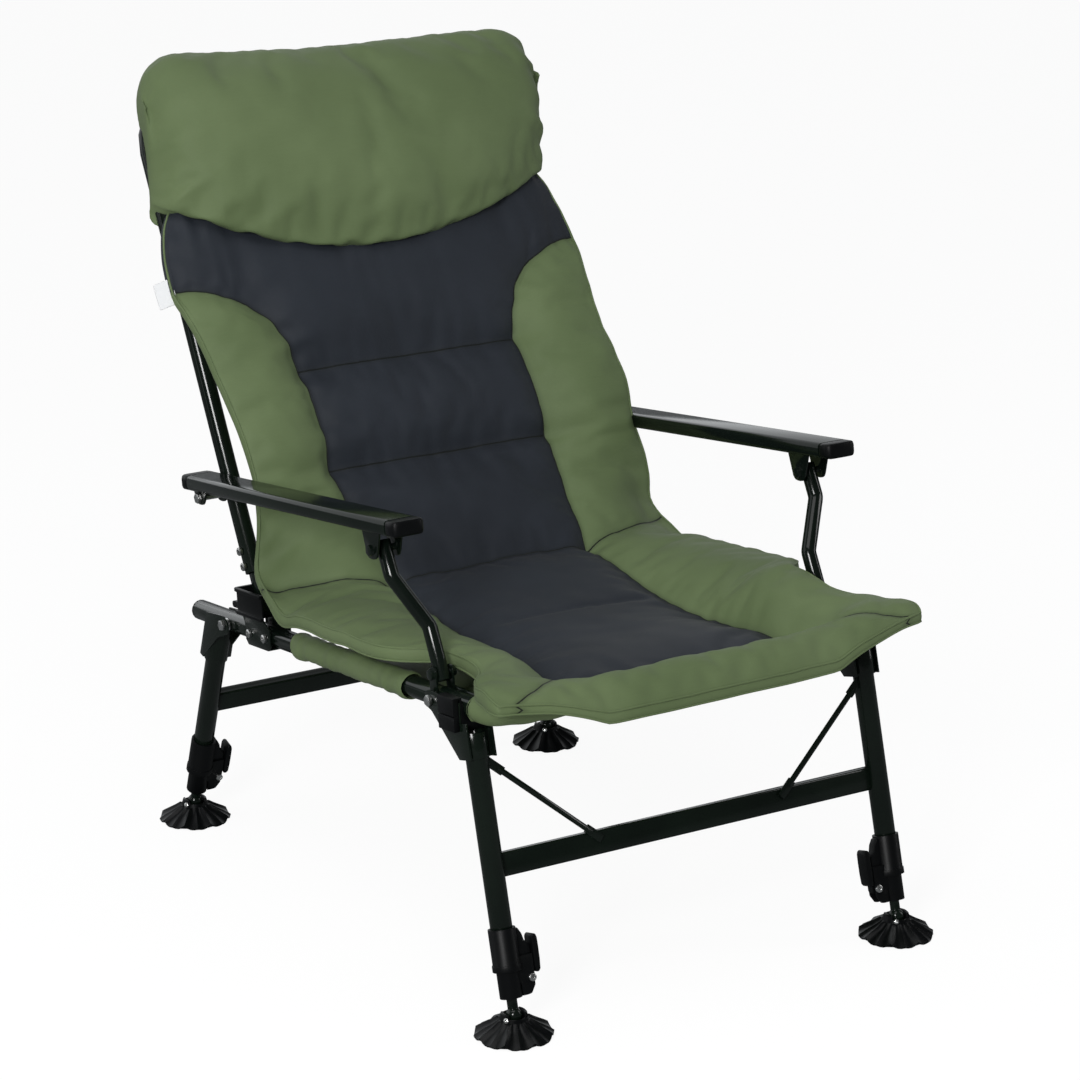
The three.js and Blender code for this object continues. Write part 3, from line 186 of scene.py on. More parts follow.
class NodeSet:
    # the nodes of a world or a material
    def __init__(self, tree, outputKind):
        self.tree = tree
        tree.nodes.clear()
        self.output = tree.nodes.new(outputKind)

    def add(self, kind, settings=None, values=(), result=0):
        node = self.tree.nodes.new(kind)
        for key, value in (settings or {}).items():
            setattr(node, key, value)
        pairs = values.items() if isinstance(values, dict) else enumerate(values)
        for key, value in pairs:
            self.feed(node.inputs[key], value)
        return Wire(self, node.outputs[result])

    def feed(self, socket, value):
        if isinstance(value, Wire):
            self.tree.links.new(value.socket, socket)
        elif isinstance(value, (tuple, list)) and socket.type == "RGBA" and len(value) == 3:
            socket.default_value = (*value, 1)
        else:
            socket.default_value = value

    def show(self, wire):
        self.feed(self.output.inputs["Surface"], wire)

    def rays(self, kind):
        return self.add("ShaderNodeLightPath", result="Is " + kind + " Ray")

    def blend(self, share, first, second):
        return self.add("ShaderNodeMixShader", None, (share, first, second))

    def place(self, kind="Object"):
        return self.add("ShaderNodeTexCoord", result=kind)

    def parts(self, vector):
        node = self.tree.nodes.new("ShaderNodeSeparateXYZ")
        self.tree.links.new(vector.socket, node.inputs[0])
        return [Wire(self, output) for output in node.outputs]


class Finish(NodeSet):
    # one material and its shader
    def __init__(self, name):
        self.material = bpy.data.materials.new(name)
        self.material.use_nodes = True
        super().__init__(self.material.node_tree, "ShaderNodeOutputMaterial")
        shader = self.tree.nodes.new("ShaderNodeBsdfPrincipled")
        self.sockets = shader.inputs
        self.shaded = Wire(self, shader.outputs[0])
        self.show(self.shaded)

    def attribute(self, name):
        return self.add("ShaderNodeAttribute", {"attribute_name": name}, result="Fac")

    def noise(self, vector, scale, detail, roughness=0.5):
        values = {"Vector": vector, "Scale": scale, "Detail": detail, "Roughness": roughness}
        return self.add("ShaderNodeTexNoise", {"noise_dimensions": "3D"}, values)

    def mix(self, factor, first, second):
        values = {0: factor, 6: first, 7: second}
        return self.add("ShaderNodeMix", {"data_type": "RGBA"}, values, result=2)

    def scaled(self, vector, scale):
        return self.add("ShaderNodeVectorMath", {"operation": "MULTIPLY"}, (vector, scale))

    def tint(self, colour, strength):
        # a colour made lighter or darker all over
        return self.add("ShaderNodeVectorMath", {"operation": "SCALE"}, {0: colour, "Scale": strength})

    def bump(self, height, distance, strength, normal=None):
        values = {"Height": height, "Distance": distance, "Strength": strength}
        if normal is not None:
            values["Normal"] = normal
        return self.add("ShaderNodeBump", {}, values)

    def surface(self, **values):
        for key, value in values.items():
            self.feed(self.sockets[key.replace("_", " ")], value)
        return self.material


# Camera, light and floor
cameraPlace = {
    "spot": (-2.22274, -3.65985, 1.72745),
    "yaw": -31.7556,
    "lift": 17.047,
    "roll": -0.2254,
    "lens": 124.62,
    "sensor": 36,
}


def makeCamera():
    yaw, lift, roll = [math.radians(cameraPlace[key]) for key in ("yaw", "lift", "roll")]
    back = Vector((math.sin(yaw) * math.cos(lift), -math.cos(yaw) * math.cos(lift), math.sin(lift)))
    right = Vector((math.cos(yaw), math.sin(yaw), 0))
    up = back.cross(right)
    turnedRight = math.cos(roll) * right + math.sin(roll) * up
    turnedUp = -math.sin(roll) * right + math.cos(roll) * up
    data = bpy.data.cameras.new("photoCamera")
    data.lens = cameraPlace["lens"]
    data.sensor_fit = "HORIZONTAL"
    data.sensor_width = cameraPlace["sensor"]
    camera = linkNew("photoCamera", data)
    axes = Matrix((turnedRight, turnedUp, back)).transposed().to_4x4()
    camera.matrix_world = Matrix.Translation(cameraPlace["spot"]) @ axes
    bpy.context.scene.camera = camera


lampSetup = {
    "overhead": {"spot": (-1.1, -0.8, 3.3), "aim": (0, 0, 0.4), "size": (2.4, 1.6), "power": 21},
    "frontBox": {"spot": (-3.0, -2.7, 2.1), "aim": (0, 0, 0.6), "size": (1.1, 1.1), "power": 91},
    "leftStrip": {"spot": (-3.2, 0.9, 1.4), "aim": (0, 0, 0.5), "size": (0.3, 2.4), "power": 4},
    "rightStrip": {"spot": (3.0, -1.4, 1.6), "aim": (0, 0, 0.5), "size": (0.35, 2.4), "power": 11},
}


studioLook = {
    "lit": ((0.97, 0.985, 1), 0.38),
    "shown": ((1, 1, 1), 1.0),
    "roomDim": ((0.95, 0.98, 1), 0.06),
    "roomPale": ((0.95, 0.98, 1), 1.0),
    "paleFrom": 0.15,
    "paleTo": 0.7,
}


def makeLights():
    for name, lamp in lampSetup.items():
        data = bpy.data.lights.new(name, "AREA")
        data.shape = "RECTANGLE"
        data.size, data.size_y = lamp["size"]
        data.energy = lamp["power"]
        light = linkNew(name, data)
        light.location = lamp["spot"]
        aim = Vector(lamp["aim"]) - Vector(lamp["spot"])
        light.rotation_euler = aim.to_track_quat("-Z", "Y").to_euler()
    world = bpy.data.worlds.new("studio")
    bpy.context.scene.world = world
    world.use_nodes = True
    studio = NodeSet(world.node_tree, "ShaderNodeOutputWorld")

    def backdrop(name):
        return studio.add("ShaderNodeBackground", None, studioLook[name])

    # reflections see a pale backdrop behind the chair and a dim room elsewhere
    behind = studio.parts(studio.place("Generated"))[1].stretch(studioLook["paleFrom"], studioLook["paleTo"])
    room = studio.blend(behind, backdrop("roomDim"), backdrop("roomPale"))
    unseen = studio.blend(studio.rays("Glossy"), backdrop("lit"), room)
    seen = studio.rays("Camera").larger(studio.rays("Transmission"))
    studio.show(studio.blend(seen, unseen, backdrop("shown")))


# the floor glows white for the camera and stays dim in reflections
floorLook = {
    "size": 40,
    "spot": (0, 6, 0),
    "colour": (0.6, 0.6, 0.6),
    "glow": 1.14,
    "seen": 0.8,
    "dim": 0.12,
    "mirrored": 0.9,
}


def makeFloor():
    deselectAll()
    bpy.ops.mesh.primitive_plane_add(size=floorLook["size"], location=floorLook["spot"])
    floor = bpy.context.object
    floor.name = "studioFloor"
    finish = Finish("studioFloor")
    finish.surface(Base_Color=floorLook["colour"], Roughness=0.9, Specular_IOR_Level=0.0)
    glow = finish.add("ShaderNodeEmission", None, ((1, 1, 1), floorLook["glow"]))
    dim = finish.add("ShaderNodeEmission", None, ((0.9, 0.97, 1), floorLook["dim"]))
    surface = finish.blend(finish.rays("Camera") * floorLook["seen"], finish.shaded, glow)
    finish.show(finish.blend(finish.rays("Glossy") * floorLook["mirrored"], surface, dim))
    floor.data.materials.append(finish.material)
    settle(floor)


bpy.context.scene.view_settings.view_transform = "Standard"
makeCamera()
makeLights()
makeFloor()
print("camera, lamps and floor placed")


# Materials
paintLook = {
    "colour": (0.0032, 0.0060, 0.0042),
    "light": (0.0052, 0.0095, 0.0063),
    "roughness": 0.13,
    "specular": 0.4,
    "peel": 420,
    "peelDepth": 0.00006,
}


def makeFramePaint():
    finish = Finish("framePaint")
    place = finish.place()
    cloud = finish.noise(place, 9, 4)
    scuff = finish.noise(place, 70, 5, 0.7).stretch(0.62, 0.75)
    return finish.surface(
        Base_Color=finish.mix(cloud.stretch(0.35, 0.7), paintLook["colour"], paintLook["light"]),
        Roughness=paintLook["roughness"] + 0.06 * cloud + 0.12 * scuff,
        Normal=finish.bump(finish.noise(place, paintLook["peel"], 2), paintLook["peelDepth"], 0.2),
        Specular_IOR_Level=paintLook["specular"],
    )


plasticLook = {
    "colour": (0.0022, 0.0027, 0.0031),
    "dust": (0.0046, 0.005, 0.0055),
    "roughness": 0.36,
    "footRoughness": 0.24,
    "specular": 0.2,
    "grain": 1500,
    "grainDepth": 0.00006,
}


def makeBlackPlastic(name, roughness, grainStrength):
    finish = Finish(name)
    place = finish.place()
    dust = finish.noise(place, 160, 5, 0.65).stretch(0.55, 0.8)
    return finish.surface(
        Base_Color=finish.mix(dust * 0.35, plasticLook["colour"], plasticLook["dust"]),
        Roughness=roughness + 0.14 * finish.noise(place, 24, 3),
        Normal=finish.bump(finish.noise(place, plasticLook["grain"], 2), plasticLook["grainDepth"], grainStrength),
        Specular_IOR_Level=plasticLook["specular"],
    )


zincLook = {"colour": (0.78, 0.78, 0.77), "dull": (0.5, 0.51, 0.5), "roughness": 0.2, "brush": (4000, 500, 500)}


def makeZinc():
    finish = Finish("zincPlate")
    place = finish.place()
    brushed = finish.noise(finish.scaled(place, zincLook["brush"]), 1, 2)
    cloud = finish.noise(place, 240, 3)
    return finish.surface(
        Base_Color=finish.mix(cloud.stretch(0.3, 0.75), zincLook["colour"], zincLook["dull"]),
        Roughness=zincLook["roughness"] + 0.2 * cloud,
        Metallic=1.0,
        Normal=finish.bump(brushed, 0.00003, 0.4),
    )


fabricLook = {
    "green": (0.134, 0.184, 0.082),
    "greenDeep": (0.106, 0.150, 0.063),
    "black": (0.0210, 0.0260, 0.0355),
    "blackDeep": (0.0155, 0.0195, 0.0270),
    # near-black colour of the sewn lines, also used to paint shade beside them
    "threadAndSeamShade": (0.006, 0.008, 0.006),
    "roughness": 0.6,
    "specular": 0.3,
    "sheen": 0.03,
    "yarn": 0.0011,
    "stitch": 0.0045,
}
# seams on the cloth: straight lines across the panel, and slanting ones at its corners, in metres
quiltPlaces = [0.470, 0.632, 0.762]
mitreLines = [
    {"length": 0.8205, "width": 0.5716, "reach": 0.1532, "from": 0.0, "to": 0.078},
    {"length": 0.9562, "width": -0.2933, "reach": 0.4093, "from": 0.470, "to": 0.520},
]


def makeFabric(name, twoColours=False):
    # closely woven polyester: fine yarns, soft cloudy tone, sewn lines on the cover with painted shade beside them
    finish = Finish(name)
    place = finish.place()
    if twoColours:
        width = finish.attribute("acrossCloth")
        length = finish.attribute("alongCloth")
    else:
        width, length, height = finish.parts(place)
        length = length + height
    turn = 2 * math.pi / fabricLook["yarn"]
    weave = ((width * turn).sine() * (length * turn).sine()) * 0.5 + 0.5
    cloud = finish.noise(place, 6, 4)
    slub = finish.noise(finish.scaled(place, (60, 600, 600)), 1, 3)
    colour = finish.mix(cloud.stretch(0.3, 0.7), fabricLook["greenDeep"], fabricLook["green"])
    if twoColours:
        black = finish.mix(cloud.stretch(0.3, 0.7), fabricLook["blackDeep"], fabricLook["black"])
        panelDepth = finish.attribute("panelDepth")
        inPanel = panelDepth.stretch(-0.0004, 0.0004)
        colour = finish.mix(inPanel, colour, black)
        seam = abs(panelDepth)
        for seamAt in quiltPlaces:
            seam = seam.smaller(abs(length - seamAt) + (1 - inPanel))
        for line in mitreLines:
            gap = abs(length * line["length"] + abs(width) * line["width"] - line["reach"])
            before = length.stretch(line["from"], line["from"] - 0.0005)
            after = length.stretch(line["to"], line["to"] + 0.0005)
            seam = seam.smaller(gap + (inPanel + before + after))
        # painted shade: the sewn line itself is darkened in a narrow band, and a wider band up to 7 mm out darkens the
        # cloth beside it where the seam pulls it in
        ditch = 1 - seam.stretch(0.0002, 0.0013)
        soft = 1 - seam.stretch(0.0004, 0.007)
        colour = finish.mix(ditch * 0.76 + soft * 0.26, colour, fabricLook["threadAndSeamShade"])
    colour = finish.tint(colour, 0.86 + 0.2 * weave + 0.1 * slub)
    normal = finish.bump(weave * 0.7 + slub * 0.3, 0.00012, 0.5)
    if twoColours:
        stitch = ((length + width) * (2 * math.pi / fabricLook["stitch"])).sine().stretch(-0.2, 0.2)
        row = 1 - abs(finish.attribute("stitchGap")).stretch(0.0003, 0.0011)
        normal = finish.bump(row * stitch - ditch * 1.5, 0.0005, 0.7, normal)
    return finish.surface(
        Base_Color=colour,
        Roughness=fabricLook["roughness"] + 0.1 * cloud,
        Normal=normal,
        Sheen_Weight=fabricLook["sheen"],
        Sheen_Roughness=0.5,
        Specular_IOR_Level=fabricLook["specular"],
    )


framePaint = makeFramePaint()
blackPlastic = makeBlackPlastic("mouldedPlastic", plasticLook["roughness"], 0.35)
footPlastic = makeBlackPlastic("footPlastic", plasticLook["footRoughness"], 0.2)
zincPlate = makeZinc()
coverFabric = makeFabric("coverFabric", True)
slingFabric = makeFabric("slingFabric")
print("materials made")

# Lines of the seat and back, in millimetres, turned into places in metres
seatPlane = {"y": -0.04575, "z": 0.3235, "tilt": 6.0}
backPlane = {"y": 0.144283, "z": 0.331078, "recline": 28.1}


def seatSpot(along, height):
    tilt = math.radians(seatPlane["tilt"])
    y = seatPlane["y"] + (along * math.cos(tilt) + height * math.sin(tilt)) * mm
    z = seatPlane["z"] + (height * math.cos(tilt) - along * math.sin(tilt)) * mm
    return y, z


def backSpot(up, ahead):
    lean = math.radians(backPlane["recline"])
    y = backPlane["y"] + (up * math.sin(lean) - ahead * math.cos(lean)) * mm
    z = backPlane["z"] + (up * math.cos(lean) + ahead * math.sin(lean)) * mm
    return y, z


# Padded cover: one pad along the seat, round the bend and up the back
cover = {
    "cell": 7.5,
    "sideCell": 8.5,
    "widest": 288,
    "panelShare": 0.53,
    "seams": [66, 470, 632, 762],
    "panelStart": 66,
    "blackFrom": 886,
    "bow": 20,
    "frontSkew": 8,
    "pressure": 3.2,
    "slack": -0.022,
    "frames": 20,
    "cap": 13,
    "weltRadius": 1.5,
    "weltUntil": 560,
    # size, reach and fall of the dip along the panel's edge
    "edgeDip": (7.5, 9, 1.1),
    # puckers: size, fade, wave, seed and squeeze
    "edgeFolds": (4.0, 26, 15, 3.1, 1),
    "rimFolds": (4.6, 34, 17, 7.7, 1),
    "lineFolds": (3.8, 20, 16, 11.3, 1),
    "headFolds": (7.5, 55, 17, 21.9, 0.4),
    # unevenness: size, scale and seed
    "drift": (2.6, 70, 5.5),
    "fineDrift": (1.6, 28, 9.5),
    "backDrift": (2.6, 60, 15.5),
    "rimDrift": (2.2, 34, 31.0),
    "lowDrift": (1.5, 60, 41.0),
}
# along, place and height on the seat, lean, border crown, rim rise, thickness, rim depth, half width
seatRows = [
    (0, -397, -1, 0, 2, 28, 13, 12, 286),
    (10, -391, 12, 0, 5, 20, 22, 17, 288),
    (24, -381, 26, 0, 5, 10, 24, 20, 289),
    (38, -370, 33, 0, 4, 5, 22, 21, 287),
    (50, -361, 30, 0, 5, 8, 19, 20, 285),
    (60, -351, 18, 0, 7, 19, 16, 19, 283),
    (67, -343, 8, 0, 8, 28, 16, 18, 279),
    (80, -328, 6, 0, 9, 30, 18, 18, 271),
    (104, -300, 7, 0, 8, 31, 19, 18, 247),
    (130, -270, 9, 0, 9, 32, 20, 18, 237),
    (160, -236, 10, 0, 9, 34, 21, 18, 235),
    (190, -206, 10, 0, 9, 36, 22, 18, 241),
    (214, -182, 11, 0, 9, 37, 22, 18, 264),
    (235, -161, 13, 0, 9, 36, 23, 18, 281),
    (263, -133, 16, 0, 9, 34, 25, 18, 289),
    (320, -76, 25, 4, 9, 26, 32, 18, 291),
    (376, -20, 38, 10, 8, 13, 38, 18, 290),
    (423, 27, 52, 20, 7, 0, 41, 18, 288),
    (456, 60, 64, 27, 5, -9, 41, 18, 287),
]
# along, y, z, slope, then the same five sizes
bendRows = [
    (480, 0.0440, 0.3915, 25, 4, -14, 41, 18, 286),
    (513, 0.0733, 0.4074, 31, 5, -17, 40, 14, 280),
    (563, 0.1138, 0.4373, 44, 6, -14, 39, 10, 270),
    (604, 0.1429, 0.4652, 54, 7, -5, 39, 9, 261),
]
# up the back and proud of its tubes, then the same five sizes
backRows = [
    (146, 60, 8, 3, 40, 10, 258),
    (180, 61, 9, 6, 45, 12, 260),
    (223, 58, 10, 8, 44, 13, 264),
    (275, 50, 10, 6, 37, 13, 269),
    (330, 46, 9, 1, 33, 13, 275),
    (370, 41, 6, -6, 28, 13, 281),
    (400, 36, 3, -13, 22, 12, 285),
    (430, 31, 2, -12, 18, 11, 283),
    (470, 27, 2, -10, 15, 10, 275),
    (515, 23, 1, -8, 12, 9, 250),
]
backFrom = 633
# along and half width of the black panel's outline
panelEdge = [
    (66, 0), (66, 90), (69, 135), (78, 156), (104, 154), (130, 150), (211, 141), (300, 137), (470, 137), (520, 139),
    (575, 146), (631, 151), (700, 150), (762, 152), (797, 159), (832, 175), (857, 202), (877, 242), (883, 264),
    (886, 300),
]
# sewn lines and creases, the same on both sides: along and across points, dip, its reach and its fall
sewnLines = [
    ([(762, 0), (762, 152)], 13, 17, 1.1),
    ([(631, 0), (633, 151)], 13, 17, 1.1),
    ([(470, 0), (470, 137)], 12, 17, 1.1),
    ([(308, 0), (305, 138)], 2.5, 12, 1.1),
    ([(470, 137), (482, 180), (500, 235), (520, 300)], 11, 16, 1.4),
    ([(78, 156), (52, 190), (24, 232), (0, 268)], 6, 10, 1.4),
]
# where the seat's side meets the back's
bendCorners = [
    {"along": 533, "reach": 30, "rearward": 25, "down": 19},
    {"along": 480, "reach": 32, "rearward": 0, "down": 18},
]
# the right side of the back is wider and stands further forward than the left
rightSide = {
    "along": [0, 67, 80, 104, 480, 513, 533, 563, 604, 680, 720, 760, 800, 890, 957, 1002, 1200],
    "wider": [4, 4, 3, 0, 0, 7, 11, 15, 16, 14, 8, 3, 0, 0, -4, -6, -6],
    "proud": [0, 0, 0, 0, 0, 0, 0, 6, 10, 11, 7, 5, 4, 3, 2, 2, 0],
}
# how far the front edge's bow reaches back along the cloth
bowFade = {"along": [0, 24, 48, 66, 90, 1200], "share": [1, 0.86, 0.5, 0.2, 0, 0]}
postBulge = {"along": 165, "reach": 60, "rise": 19}  # the right border stands up round its post
headSeamLine = {"up": 428, "curve": 0.00104}  # the pillow's lower seam, across the back


def coverGuide():
    # face line, slope and sizes at each station
    rows = []
    for along, spot, height, lean, *sizes in seatRows:
        rows.append((along, *seatSpot(spot, height), lean - seatPlane["tilt"], *sizes))
    for along, y, z, slope, *sizes in bendRows:
        rows.append((along, y, z, slope, *sizes))
    for up, ahead, *sizes in backRows:
        slope = 90 - backPlane["recline"]
        rows.append((backFrom + up - backRows[0][0], *backSpot(up, ahead), slope, *sizes))
    return np.array(rows, dtype=float)


def smoothTable(places, values, wanted):
    # cubic through the stations that never overshoots them
    places = np.asarray(places)
    values = np.asarray(values)
    steps = np.diff(places)
    slopes = np.diff(values) / steps
    tangents = np.zeros_like(values)
    for i in range(1, len(values) - 1):
        if slopes[i - 1] * slopes[i] > 0:
            tangents[i] = 2 * slopes[i - 1] * slopes[i] / (slopes[i - 1] + slopes[i])
    tangents[0], tangents[-1] = slopes[0], slopes[-1]
    index = np.clip(np.searchsorted(places, wanted) - 1, 0, len(steps) - 1)
    t = (wanted - places[index]) / steps[index]
    run = steps[index]
    first = values[index] * (1 + 2 * t) * (1 - t) ** 2 + tangents[index] * run * t * (1 - t) ** 2
    return first + values[index + 1] * t * t * (3 - 2 * t) + tangents[index + 1] * run * t * t * (t - 1)


def snapTo(places, wanted):
    # moves the nearest steps of a row onto the seams, and eases their neighbours
    for seamAt in wanted:
        k = int(np.argmin(np.abs(places - seamAt)))
        shift = seamAt - places[k]
        for offset, part in ((-2, 0.33), (-1, 0.67), (0, 1), (1, 0.67), (2, 0.33)):
            if 0 < k + offset < len(places) - 1:
                places[k + offset] += shift * part
    return places


def warpTo(share, edge, at):
    # spreads the columns so that one of them runs along the panel's edge
    size = np.abs(share)
    inner = size / at * edge
    outer = edge + (size - at) / (1 - at) * (1 - edge)
    return np.sign(share) * np.where(size <= at, inner, outer)


def lineGap(points, along, across):
    # shortest distance from every grid point to a line drawn on the cloth
    best = np.full(along.shape, 1e9)
    where = np.zeros(along.shape)
    travelled = 0.0
    for (a0, x0), (a1, x1) in zip(points[:-1], points[1:]):
        run = np.array([a1 - a0, x1 - x0], dtype=float)
        length = math.hypot(*run)
        t = np.clip(((along - a0) * run[0] + (across - x0) * run[1]) / length**2, 0, 1)
        gap = np.hypot(along - a0 - t * run[0], across - x0 - t * run[1])
        where = np.where(gap < best, travelled + t * length, where)
        best = np.minimum(best, gap)
        travelled += length
    return best, where


def noiseOver(first, second, third):
    # smooth noise at every place of three grids
    grids = np.broadcast_arrays(first, second, third)
    values = [noise.noise(Vector(spot)) for spot in zip(*(grid.ravel() for grid in grids))]
    return np.array(values).reshape(grids[0].shape)


def foldsAlong(folds, where, gap, later=0):
    # soft irregular puckers along a seam, fading away from it
    size, fade, wave, seed, squeeze = folds
    return size * np.exp(-np.maximum(gap, 0) / fade) * noiseOver(where / wave, seed + later, gap * squeeze / 60)


def driftOver(drift, along, across):
    size, scale, seed = drift
    return size * noiseOver(along / scale, across / scale, seed)


def dipAt(gap, size, reach, fall):
    return size * np.exp(-((gap / reach) ** fall))


def headSeam(across):
    return headSeamLine["up"] + headSeamLine["curve"] * across**2


def rimOf(rows, columns):
    # the outermost points of a grid, in order
    order = [(0, j) for j in range(columns)] + [(i, columns - 1) for i in range(1, rows)]
    order += [(rows - 1, j) for j in range(columns - 2, -1, -1)] + [(i, 0) for i in range(rows - 2, 0, -1)]
    return order


def closedPad(name, top, low, middle, rim):
    # top and bottom sheets joined round the rim by one middle row
    rows, columns = top.shape[:2]
    lowFrom = rows * columns
    middleFrom = 2 * lowFrom
    faces = []
    for a, b, c, d in gridFaces(rows, columns):
        faces.append((a, b, c, d))
        faces.append((lowFrom + d, lowFrom + c, lowFrom + b, lowFrom + a))
    for k, (i, j) in enumerate(rim):
        after = (k + 1) % len(rim)
        here = i * columns + j
        there = rim[after][0] * columns + rim[after][1]
        faces.append((there, here, middleFrom + k, middleFrom + after))
        faces.append((middleFrom + after, middleFrom + k, lowFrom + here, lowFrom + there))
    return meshPiece(name, np.concatenate([top.reshape(-1, 3), low.reshape(-1, 3), middle]), faces)


def readPlaces(piece):
    flat = np.empty(len(piece.data.vertices) * 3)
    piece.data.vertices.foreach_get("co", flat)
    return flat.reshape(-1, 3)


def writeAttribute(piece, name, values):
    layer = piece.data.attributes.new(name, "FLOAT", "POINT")
    layer.data.foreach_set("value", np.asarray(values, dtype=np.float32))


clothStiffness = {"tension_stiffness": 12, "compression_stiffness": 12, "shear_stiffness": 4, "bending_stiffness": 0.35}


def swell(piece, held, look):
    # air pressure under sewn lines, then the swelling is limited
    start = readPlaces(piece).copy()
    group = piece.vertex_groups.new(name="held")
    for index, weight in enumerate(held):
        if weight > 0:
            group.add([index], float(weight), "REPLACE")
    cloth = piece.modifiers.new("Cloth", "CLOTH")
    settings = cloth.settings
    settings.vertex_group_mass = "held"
    settings.use_pressure = True
    settings.uniform_pressure_force = look["pressure"]
    settings.shrink_min = look["slack"]
    settings.quality = 5
    settings.mass = 0.2
    for name, value in clothStiffness.items():
        setattr(settings, name, value)
    settings.effector_weights.gravity = 0
    cloth.collision_settings.use_collision = False
    cloth.point_cache.frame_start = 1
    cloth.point_cache.frame_end = look["frames"]
    for frameNumber in range(1, look["frames"] + 1):
        bpy.context.scene.frame_set(frameNumber)
    applyModifiers(piece)
    bpy.context.scene.frame_set(1)
    moved = readPlaces(piece) - start
    reach = np.linalg.norm(moved, axis=1, keepdims=True)
    limit = look["cap"] * mm
    factor = np.where(reach > 1e-9, limit * np.tanh(reach / limit) / np.maximum(reach, 1e-9), 1)
    piece.data.vertices.foreach_set("co", (start + moved * factor).ravel())
    piece.data.update()
    piece.vertex_groups.clear()
    print(piece.name, "swelled by at most", round(float(reach.max()) * 1000, 1), "mm")


